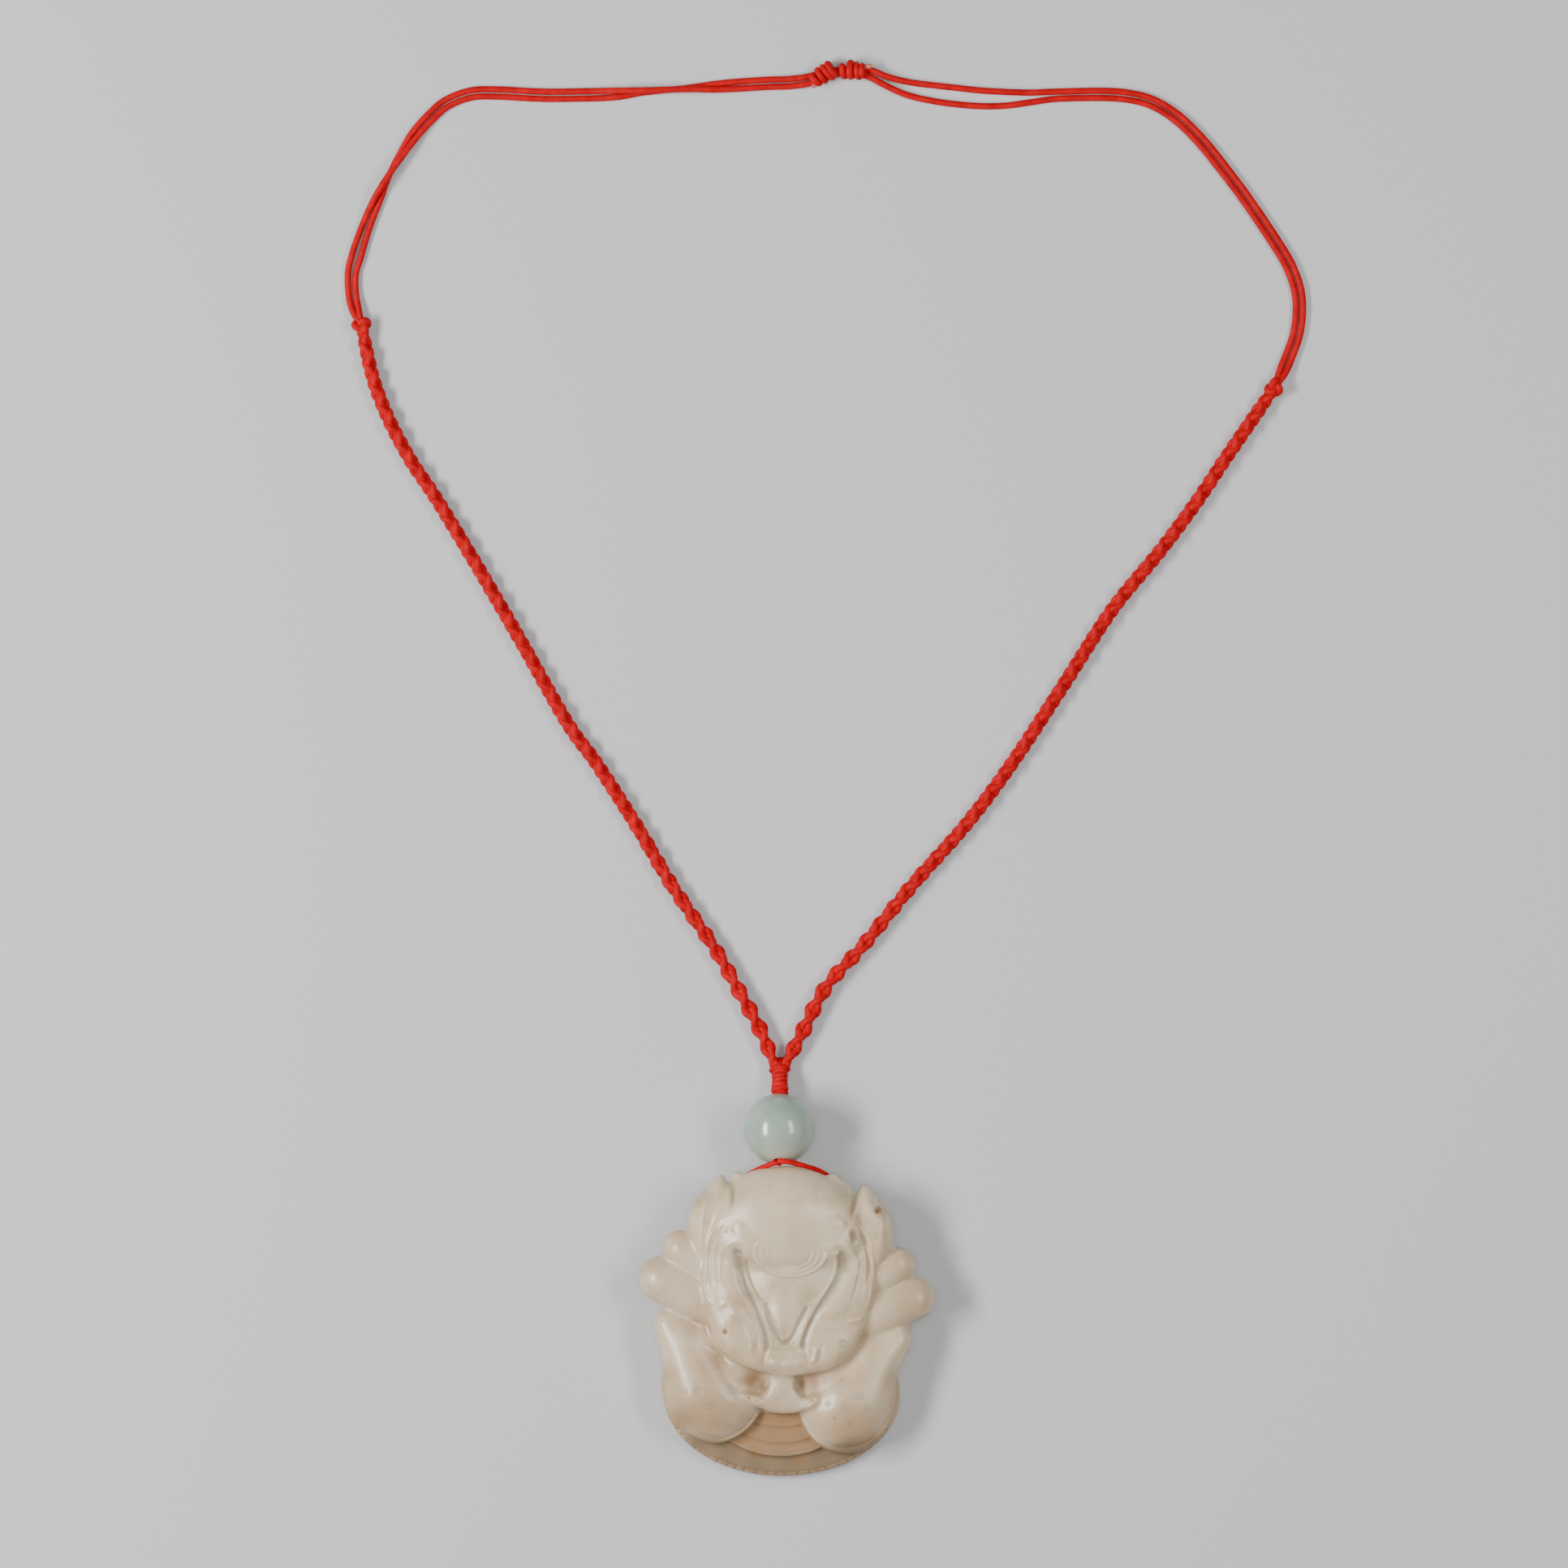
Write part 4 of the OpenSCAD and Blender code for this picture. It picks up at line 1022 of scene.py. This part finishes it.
# The medallion: (x, y, half width, half height), the line under which its rings show, its rise
# over the beak, and its rings as (share of its size, depth)
MEDALLION = (0.9, 16, 8.4, 5.7)
MEDALLION_MIDLINE = 16.5
MEDALLION_RISE = 0.45
MEDALLION_RINGS = [(0.53, 0.2), (0.69, 0.24), (0.85, 0.22)]
RING_WIDTH = 0.05

# Hollows under the chin: (x, y, reach to the left, reach to the right, reach along Y, depth), and
# the eye stalks, from root to tip, that they keep clear of
HOLLOWS = [(-5.4, -13.7, 3.4, 2, 2, 1.5), (2.8, -14, 2, 3.2, 2, 1.4)]
STALKS = [((-4.2, -17.6), (-8.7, -16.5)), ((2.8, -18), (6.3, -17.2))]
STALK_ROOM = 2

# The shell's lower edge: its groove, at a share of the rim's size, and the nicks filed across it
# over an arc in degrees
GROOVE_AT, GROOVE_WIDTH, GROOVE_DEPTH = 0.942, 0.009, 0.12
NICKS, NICKED_ARC, NICK_WIDTH, NICK_DEPTH = 26, 130, 0.62, 0.26
NICKS_TOP = -30.6
SHELL_TOP = -20.4

# Foot of the brow, the middle of the snout, and the loop's mouths in the sides of the brow
BROW_FOOT = 23
SNOUT_X = -1.4
TUNNEL_MOUTH_R, TUNNEL_MOUTH_DEPTH = 1.15, 2.5

# The relief fades in where a normal's height is between these two
FACING = (0.1, 0.5)

# Sizes of the faces of the first skin and of the last
FIRST_SKIN, LAST_SKIN = 0.36, 0.43

# Marks wider than this are drilled with a round bit
DRILLED_R = 0.5

# Round marks: (x, y, radius, depth, dull). The dull ones are drilled spots with a matt floor.
MARKS = [
    (-19.9, -15.3, 0.9, 0.10, 1), (-23.0, -15.5, 0.7, 0.06, 0.6), (-17.2, -18.9, 0.7, 0.08, 0.8),
    (-21.4, -11.2, 0.45, 0.08, 0.7), (-12.4, -14.2, 0.6, 0.04, 0.4), (-11.2, -21.4, 0.4, -0.10, 0),
    (-26.2, -16.4, 0.35, -0.12, 0), (16.5, -16.6, 0.75, 0.10, 0.8), (13.3, -19.0, 0.75, 0.10, 0.8),
    (9.4, -18.1, 0.7, 0.08, 0.8), (10.9, -21.7, 0.4, 0.25, 1), (14.5, -22.5, 0.75, 0.10, 0.8),
    (18.2, -19.5, 0.7, 0.08, 0.7), (18.7, -11.2, 0.4, 0.06, 0.6), (19.3, -23.9, 0.4, -0.12, 0),
    (15.8, -25.8, 0.4, -0.12, 0), (12.4, -15.6, 0.6, 0.05, 0.5), (12.6, -4.6, 0.9, 0.12, 1),
    (12.4, -12.7, 0.35, 0.15, 0.6), (-1.1, -19.1, 0.35, 0.2, 0.6), (-11.5, -18.6, 0.5, 0.04, 0.3),
    (-8.3, -16.8, 0.3, 0.3, 1), (5.9, -17.4, 0.3, 0.3, 1), (-13.7, -1.9, 0.55, 0.55, 1),
    (-14.1, -0.7, 0.5, -0.12, 0), (20.6, 25.4, 0.6, 0.6, 1), (-11, 15.8, 0.6, 0.12, 0.6),
]

# Colour of the stone, by kind, with rows of (x, y, radius, share). Blush is the warm tone
# of thin stone, olive a dark one, stain a rusty one, and dull is matt. Blush, olive and stain are
# also laid on as painted shade, in the hollows and valleys, under a ridge and on the knuckles
# that face away from the brighter left light.
TINTS = {
    "blush_and_shade": [
        (-27.5, -12, 3, 0.7), (-27, -18, 3, 0.6), (24.6, -13, 3.4, 0.65), (24.4, -21, 3.2, 0.6),
        # The blush rows at (-8, -13) and (6, -13.4) are painted shade in the hollows under the chin,
        # over their tan stone.
        (-2, -24.5, 8.5, 0.5), (-8, -13, 3.4, 1), (6, -13.4, 3.4, 0.95), (-2, -32.6, 10, 0.45),
        (18, -5, 3.4, 0.45), (-21, -2, 3.2, 0.4), (31, 7.4, 3, 0.45), (27.5, 15, 2.2, 0.4),
        (-30, 13, 2.4, 0.35), (14, -24, 8.5, 0.75), (-20, -21, 11, 0.8), (-17, -12, 8, 0.5),
        # The blush rows at (28, 5) and (24.5, 13.5) are painted shade on the right knuckles, on the
        # side away from the brighter left light.
        (13, -13, 7, 0.4), (-13, 2, 7, 0.35), (28, 5, 6, 0.65), (24.5, 13.5, 4.5, 0.45),
        (-21, 8, 4, 0.2), (22, 6, 4, 0.25),
    ],
    "olive_and_shade": [
        # Most olive rows are painted shade: in the hollows under the chin and beside the brow, the
        # valleys by the ears, the slots and under the ridge at (16.8, -2.6).
        (-5.2, -14.3, 1.5, 0.6), (2.9, -14.1, 1.4, 0.5), (-18, 28.4, 1.9, 0.3),
        (15.6, 19.3, 1.4, 0.45), (-10.9, 15.6, 1.1, 0.33), (-9.4, 10.4, 1.4, 0.24),
        (-11, 29.4, 2.4, 0.24), (16.8, -2.6, 1.8, 0.21), (-13, 20.6, 1.1, 0.21),
        (-24.5, -22.5, 2.4, 0.21), (12.6, 29.4, 2.4, 0.24), (12.6, 13.6, 1.4, 0.21),
        (-2, -25, 7, 0.16),
    ],
    "stain_and_shade": [
        (20.6, 25.2, 0.9, 1), (21.5, 24.6, 1.5, 0.45), (-13.7, -2, 0.45, 0.9),
        (-8.3, -16.8, 0.35, 0.8), (5.9, -17.4, 0.35, 0.8), (-20.2, -0.2, 1.5, 0.5),
        (-18, -1.6, 1.3, 0.5), (-7.4, -29.8, 0.5, 1), (-11, -27.6, 1.8, 0.4),
        (12.4, -12.7, 0.35, 0.7), (-20.3, 27.4, 1.5, 0.35), (10.9, -21.7, 0.35, 0.7),
        (19, -26, 2.2, 0.25), (2.8, -31.8, 1.9, 0.45), (-7.6, -30.2, 1.7, 0.45),
        # The stain rows at (-5.6, -14.2) and (3.4, -14.2) darken the hollows beside the snout,
        # partly rusty stone and partly painted shade.
        (-5.6, -14.2, 1.9, 0.35), (3.4, -14.2, 1.7, 0.35), (-24, -22, 2.6, 0.35),
    ],
    "dull": [
        (-6.6, -13.7, 3, 0.9), (4.4, -13.9, 3, 0.9),
    ],
}


def nearest_on(line, xy):
    """For each point: its distance to the line, the side of it (1 is the left), and the share of
    the line passed there."""
    lengths = np.linalg.norm(np.diff(line, axis=0), axis=1)
    passed = np.concatenate([[0], np.cumsum(lengths)])
    best = np.full(len(xy), 1e9)
    share = np.zeros(len(xy))
    side = np.ones(len(xy))
    for a, b, start, length in zip(line, line[1:], passed, lengths):
        way = (b - a) / length
        from_a = xy - a
        t = np.clip(from_a @ way, 0, length)
        gap = np.hypot(from_a[:, 0] - t * way[0], from_a[:, 1] - t * way[1])
        nearer = gap < best
        best[nearer] = gap[nearer]
        share[nearer] = (start + t[nearer]) / passed[-1]
        turn = way[0] * from_a[:, 1] - way[1] * from_a[:, 0]
        side[nearer] = np.where(turn[nearer] > 0, 1, -1)
    return best, side, share


def inside(outline, xy):
    """Which points lie inside an outline."""
    held = np.zeros(len(xy), bool)
    for (x1, y1), (x2, y2) in zip(outline, outline[1:] + outline[:1]):
        if y1 == y2:
            continue
        spans = (y1 > xy[:, 1]) != (y2 > xy[:, 1])
        held ^= spans & (xy[:, 0] < (x2 - x1) * (xy[:, 1] - y1) / (y2 - y1) + x1)
    return held


def smooth_step(value, low, high):
    t = np.clip((value - low) / max(high - low, 1e-6), 0, 1)
    return t * t * (3 - 2 * t)


def hill(value, at, width):
    """1 at the given value, falling off smoothly to both sides of it."""
    return np.exp(-(((value - at) / width) ** 2))


def outward_on(step, xy):
    """How far out from a rim step's middle each point lies, where 1 is the step's edge."""
    return np.hypot((xy[:, 0] - step[0]) / step[2], (xy[:, 1] - step[1]) / step[3])


def hollows(places, normals):
    """The hollows under the chin, steep against the snout and open to the sides."""
    xy = places[:, :2]
    x, y = xy.T
    clear = ~inside(SNOUT, xy) & ~inside(FACE_OUTLINE, xy)
    for stalk in STALKS:
        clear &= nearest_on(np.array(stalk), xy)[0] > STALK_ROOM
    cut = np.zeros(len(xy))
    for hollow_x, hollow_y, left, right, along, depth in HOLLOWS:
        across = (x - hollow_x) / np.where(x < hollow_x, left, right)
        cut += depth * np.exp(-(np.hypot(across, (y - hollow_y) / along) ** 2))
    return cut * clear * smooth_step(normals[:, 2], *FACING)


class Skin:
    """The points of the carving's skin, how far the relief cuts each one in, and its tints."""

    def __init__(self, places, normals):
        self.xy = places[:, :2]
        self.x, self.y, self.z = places.T
        self.up = normals[:, 2]
        self.facing = smooth_step(self.up, *FACING)
        self.cut = np.zeros(len(places))
        self.tints = {kind: np.zeros(len(places)) for kind in TINTS}

    def tint(self, kind, amount, where=slice(None)):
        """Of two tints of a kind on one point, the stronger counts."""
        self.tints[kind][where] = np.maximum(self.tints[kind][where], amount)

    def around(self, line, reach):
        """Which points lie in the line's box, drawn out by the reach."""
        near = np.ones(len(self.x), bool)
        for values, ends in ((self.x, [p[0] for p in line]), (self.y, [p[1] for p in line])):
            near &= (values > min(ends) - reach) & (values < max(ends) + reach)
        return near


def engrave(skin):
    """Cuts each line of the relief, and leaves the deep ones warmer."""
    for depth, left, right, fade_in, fade_out, line in CUTS:
        near = skin.around(line, max(left, right))
        gap, side, share = nearest_on(Route(line, per_span=4).line, skin.xy[near])
        t = np.clip(gap / np.maximum(np.where(side > 0, left, right), 1e-6), 0, 1)
        shape = (1 - t ** 2) ** 2 * skin.facing[near]
        shape *= smooth_step(share, -1e-6, fade_in) * smooth_step(1 - share, -1e-6, fade_out)
        skin.cut[near] += depth * shape
        if depth > WARM_DEPTH:
            skin.tint("blush_and_shade", 0.6 * depth * shape, near)


def cut_slots(skin):
    """Cuts each slot, widest at its head or foot and wider still on its gentle side, and darkens
    its floor."""
    for depth, head, foot, gentle, line in SLOTS:
        near = skin.around(line, max(head, foot) * GENTLE_SIDE)
        gap, side, share = nearest_on(Route(line, per_span=4).line, skin.xy[near])
        width = head + (foot - head) * smooth_step(share, 0.12, 0.6)
        t = np.clip(gap / (width * np.where(side == gentle, GENTLE_SIDE, 1)), 0, 1)
        skin.cut[near] += depth * (1 - t ** 2) ** 2 * (1 - 0.3 * share) * skin.facing[near]
        dark = (0.1 + 0.8 * depth) * (1 - smooth_step(t, 0.25, 0.9))
        skin.tint("olive_and_shade", dark * skin.facing[near], near)


def raise_medallion(skin):
    """The medallion under the brow stands a little over the beak. Its rings show below its middle
    and fade at its midline. How far out each point lies on it is handed on."""
    x, y, half_width, half_height = MEDALLION
    ring = np.hypot((skin.x - x) / half_width, (skin.y - y) / half_height)
    under = MEDALLION_MIDLINE - skin.y
    aside = abs(skin.x - x)
    below = smooth_step(under + 0.25 * aside, -1.5, 3)
    below *= 0.35 + 0.65 * smooth_step(aside, 0.5, 3.5)
    for at, depth in MEDALLION_RINGS:
        skin.cut += depth * hill(ring, at, RING_WIDTH) * below * skin.facing
    raised = (1 - smooth_step(ring, 0.97, 1.03)) * smooth_step(under, -3, 3)
    skin.cut -= MEDALLION_RISE * raised * skin.facing
    skin.cut += 0.09 * hill(ring, 1, RING_WIDTH) * smooth_step(-under, 0, 3) * skin.facing
    return ring


def flank(skin, edge, slope, easing):
    """One flank of the beak: each point's distance to its edge, and the height it has there."""
    gap = nearest_on(Route(edge, per_span=6).line, skin.xy)[0]
    run = np.minimum(gap, FLANK_RUN)
    return gap, slope * run - easing * run ** 2


def shape_beak(skin, ring):
    """Two rounded flanks fall to the beak's edges from the shallow valley between them."""
    y = skin.y
    left_gap, left = flank(skin, BEAK_LEFT, 0.5, 0.045)
    right_gap, right = flank(skin, BEAK_RIGHT, 0.3, 0.03)
    left -= 0.4 + 0.3 * smooth_step(y, 2, 7) + 0.07 * np.clip(y - 4, -7, 9)
    right -= 0.3 + 0.15 * smooth_step(y, 2, 7)
    crest = -0.25 * np.log(np.exp(-4 * left) + np.exp(-4 * right))
    crest -= 0.2 * hill(skin.x, 0.4, 1.3)
    crest += 0.03 * np.clip(7 - y, 0, 9)
    beak = inside(BEAK_LEFT + BEAK_RIGHT[::-1], skin.xy) * smooth_step(ring, 0.97, 1.03)
    beak *= (1 - smooth_step(y, 13, 15.5)) * smooth_step(np.minimum(left_gap, right_gap), 0, 0.5)
    skin.cut = skin.cut * (1 - beak) - crest * beak * skin.facing


def mark(skin):
    """Drilled spots with a matt floor and a dark rim, pits, and small raised beads."""
    for x, y, radius, depth, dull in MARKS:
        gap = np.hypot(skin.x - x, skin.y - y)
        skin.cut += depth * (1 - smooth_step(gap, 0.6 * radius, 1.1 * radius)) * skin.facing
        drilled = radius > DRILLED_R
        if drilled and 0 < depth < 0.2:
            skin.cut += 0.05 * hill(gap, radius, 0.2) * skin.facing
        spot = dull * (1 - smooth_step(gap, 0.85 * radius, 1.1 * radius)) * skin.facing
        skin.tint("dull", spot)
        if drilled:
            line = hill(gap, 0.9 * radius, 0.22) * skin.facing
            skin.tint("olive_and_shade", 0.28 * dull * line + 0.12 * spot)


def colour(skin):
    """The colour of the stone, spot by spot: its natural tones, and painted shade in its hollows and
    valleys and on the knuckles away from the light.
    """
    for kind, spots in TINTS.items():
        for x, y, radius, share in spots:
            skin.tint(kind, share * hill(np.hypot(skin.x - x, skin.y - y), 0, radius))


def edge_steps(skin):
    """Crisp, slightly wavy edges of the shell's steps between the claws, with painted shade at the
    foot of each step and a painted highlight along its lip.
    """
    shell = ~inside(LEFT_CLAW, skin.xy) & ~inside(RIGHT_CLAW, skin.xy) & (skin.y < SHELL_TOP)
    for step in RIM_STEPS[1:]:
        radius_x, radius_y = step[2:4]
        out = (outward_on(step, skin.xy) - 1) * radius_y + 0.05 * np.sin(1.1 * skin.x + radius_x)
        foot = smooth_step(out, -0.15, 0.15) * (1 - smooth_step(out, 0.3, 1.8))
        lip = hill(out, -0.4, 0.3)
        skin.cut += (0.12 * foot - 0.1 * lip) * shell * skin.facing
        # Each step's top is tinted the band's own warm brown, left lighter along its lip as a
        # painted highlight, and its foot is darkened as painted shade.
        low = (out < 0) * shell
        skin.tint("stain_and_shade", 0.2 * low + 0.2 * foot * shell)
        skin.tint("blush_and_shade", (1 - 0.5 * lip) * low)


def file_rim(skin):
    """The groove along the shell's lower edge, the nicks filed across it, and its dark stone,
    darkened further by painted shade in the groove and the nicks.
    """
    rim = RIM_STEPS[0]
    turn = np.degrees(np.arctan2((skin.y - rim[1]) / rim[3], (skin.x - rim[0]) / rim[2]))
    outward = outward_on(rim, skin.xy)
    nick = np.zeros(len(turn))
    for i in range(NICKS):
        at = -90 + NICKED_ARC * (i / (NICKS - 1) - 0.5) + 0.7 * math.sin(4.7 * i)
        nick = np.maximum(nick, hill(turn, at, NICK_WIDTH))
    nick *= smooth_step(outward, 0.93, 0.97) * smooth_step(skin.up, 0.2, 0.5)
    shell = smooth_step(-24 - skin.y, 0, 4) * smooth_step(outward, 0.62, 0.8)
    groove = hill(outward, GROOVE_AT, GROOVE_WIDTH) * shell
    # The rim is coloured dark: partly its own dark stone and partly painted shade, lighter towards
    # its outer edge and darkest in the groove and the nicks.
    dark = shell * (0.8 + 0.08 * np.sin(0.9 * skin.x + 1.4))
    dark = np.maximum(dark * (1 - 0.45 * smooth_step(outward, 0.94, 0.98)), groove)
    skin.cut += NICK_DEPTH * nick + GROOVE_DEPTH * groove
    skin.tint("dull", 0.6 * shell)
    skin.tint("olive_and_shade", np.maximum(dark, nick))
    skin.tint("blush_and_shade", 0.9 * shell)
    skin.tint("stain_and_shade", 0.12 * dark)


def warm_and_shaded_edges(skin):
    """The thin edges of the claws are tinted warm and darker, partly the warm tone of thin stone
    and partly painted shade, and the stone low down is darkened as painted shade.
    """
    for outline in (LEFT_CLAW, RIGHT_CLAW):
        edge = nearest_on(Route(outline, closed=True, per_span=3).line, skin.xy)[0]
        warm = hill(edge, 0, 1.6) * smooth_step(-skin.y, 10, 14)
        skin.tint("blush_and_shade", 0.8 * warm * smooth_step(abs(skin.x + 1), 5.5, 9))
    # Painted shade: the lower the stone lies, the darker and warmer it is coloured.
    skin.tint("blush_and_shade", 0.4 * (1 - smooth_step(skin.z, 4, 12.5)))


def relief(places, normals):
    """How far each point of the skin is cut in, how matt it is there, and how it is tinted, with
    stains and painted shade.
    """
    skin = Skin(places, normals)
    engrave(skin)
    cut_slots(skin)
    shape_beak(skin, raise_medallion(skin))
    mark(skin)
    colour(skin)
    edge_steps(skin)
    file_rim(skin)
    warm_and_shaded_edges(skin)
    return skin.cut, skin.tints


def loaded(mesh):
    """The places and normals of a mesh's points."""
    places = np.empty(len(mesh.vertices) * 3)
    normals = np.empty(len(mesh.vertices) * 3, np.float32)
    mesh.vertices.foreach_get("co", places)
    mesh.vertex_normals.foreach_get("vector", normals)
    return places.reshape(-1, 3), normals.reshape(-1, 3).astype(float)


def evened(bm, verts, times):
    for _ in range(times):
        bmesh.ops.smooth_vert(
            bm, verts=verts, factor=0.5, use_axis_x=True, use_axis_y=True, use_axis_z=True
        )


def eased(mesh, times):
    """Smooths a mesh, but leaves its flat back."""
    bm = bmesh.new()
    bm.from_mesh(mesh)
    evened(bm, [v for v in bm.verts if v.co.z > 0.3 or v.co.z < 0], times)
    bm.to_mesh(mesh)
    bm.free()


def finer(bm):
    """The skin is made twice as fine where the relief is delicate: on the face, round the snout
    and the shell's steps, at the nicks, and along the lips of the claws."""
    middles = np.array([f.calc_center_median()[:2] for f in bm.faces])
    upward = np.array([f.normal.z for f in bm.faces]) > 0.15
    x, y = middles.T
    delicate = inside(FACE_OUTLINE, middles) & (y < BROW_FOOT)
    delicate |= (abs(x - SNOUT_X) < 9.6) & (y < -10.5) & (y > NICKS_TOP)
    delicate |= (outward_on(RIM_STEPS[0], middles) > 0.92) & (y < NICKS_TOP)
    for lip in (LEFT_LIP, RIGHT_LIP):
        delicate |= nearest_on(np.array(lip), middles)[0] < 1.3
    edges = {e for f, chosen in zip(bm.faces, delicate & upward) if chosen for e in f.edges}
    bmesh.ops.subdivide_edges(bm, edges=list(edges), cuts=1, use_grid_fill=True)
    fine = {v for e in bm.edges if e.calc_length() < 0.3 for v in e.verts if v.co.z > 0.5}
    hollow = [v for v in fine if -16.4 < v.co.y < -11.6 and -9 < v.co.x < 7]
    evened(bm, list(fine), 2)
    evened(bm, hollow, 8)


def open_tunnel(places, moved):
    """The loop's tunnel opens in each side of the brow."""
    gap = np.hypot(places[:, 1] - TUNNEL_Y, places[:, 2] - TUNNEL_Z)
    mouth = (gap < TUNNEL_MOUTH_R) & (abs(places[:, 0] - BROW_X) < 15)
    moved[mouth, 0] -= np.sign(places[mouth, 0] - BROW_X) * TUNNEL_MOUTH_DEPTH


def grind_back(bm):
    """The carving is cut level at z = 0 and closed there with one flat face."""
    bmesh.ops.bisect_plane(
        bm, geom=bm.verts[:] + bm.edges[:] + bm.faces[:], plane_co=(0, 0, 0),
        plane_no=(0, 0, -1), clear_outer=True, dist=0.0001,
    )
    return bmesh.ops.contextual_create(bm, geom=[e for e in bm.edges if e.is_boundary])["faces"]


def jade_carving():
    forms = bmesh.new()
    for ends in FORMS:
        limb(forms, ends)
    for row in OUTLINED:
        crowned(forms, *row)
    for row in RIM_STEPS:
        rim_step(forms, row)
    mesh = skinned(forms, FIRST_SKIN)
    eased(mesh, 4)
    places, normals = loaded(mesh)
    moved = places - normals * hollows(places, normals)[:, None]
    open_tunnel(places, moved)
    mesh.vertices.foreach_set("co", moved.ravel())
    cut = bmesh.new()
    cut.from_mesh(mesh)
    bpy.data.meshes.remove(mesh)
    mesh = skinned(cut, LAST_SKIN)
    eased(mesh, 2)
    bm = bmesh.new()
    bm.from_mesh(mesh)
    back = grind_back(bm)
    finer(bm)
    for face in bm.faces:
        face.smooth = True
    for face in back:
        face.smooth = False
        for edge in face.edges:
            edge.smooth = False
    bm.to_mesh(mesh)
    bm.free()
    places, normals = loaded(mesh)
    cut, tints = relief(places, normals)
    mesh.vertices.foreach_set("co", (places - normals * cut[:, None]).ravel())
    eased(mesh, 1)
    for kind, amount in tints.items():
        layer = mesh.attributes.new(kind, "FLOAT", "POINT")
        layer.data.foreach_set("value", amount.astype(np.float32))
    mesh.transform(Matrix.Scale(MM, 4))
    new_piece("jade_carving", mesh, ["jade_carving"], white_jade)


jade_carving()


# Floor, lights and surroundings

# Softboxes, in metres: (name, place, size, power in watts, whether polished stone mirrors it)
SOFTBOXES = [
    ("left_softbox", (-0.78, 0.08, 0.74), (0.66, 0.22), 16, True),
    ("right_softbox", (0.66, 0.2, 0.82), (0.7, 0.2), 6, True),
    ("overhead_softbox", (0, 0.3, 2.9), (1.2, 1.2), 22, False),
]
LIT_POINT = Vector((0, 0.1, 0))


def floor():
    bm = bmesh.new()
    bmesh.ops.create_grid(bm, x_segments=8, y_segments=8, size=2.2)
    mesh = made_mesh("floor", bm)
    mesh.transform(Matrix.Translation((0, 0.12, 0)))
    g = Graph("floor")
    g.set(Base_Color=(0.56, 0.56, 0.57), Roughness=0.8, Specular_IOR_Level=0.2)
    mesh.materials.append(g.material)
    shown("floor", mesh)


def softbox(name, place, size, power, mirrored):
    lamp = bpy.data.lights.new(name, "AREA")
    lamp.shape = "RECTANGLE"
    lamp.size, lamp.size_y = size
    lamp.energy = power
    light = shown(name, lamp)
    light.location = place
    light.rotation_euler = (LIT_POINT - Vector(place)).to_track_quat("-Z", "Y").to_euler()
    light.visible_glossy = mirrored


def surroundings():
    world = bpy.data.worlds.new("world")
    bpy.context.scene.world = world
    world.use_nodes = True
    background = world.node_tree.nodes["Background"]
    background.inputs["Color"].default_value = (0.9, 0.95, 1.0, 1)
    background.inputs["Strength"].default_value = 0.12


floor()
for row in SOFTBOXES:
    softbox(*row)
surroundings()
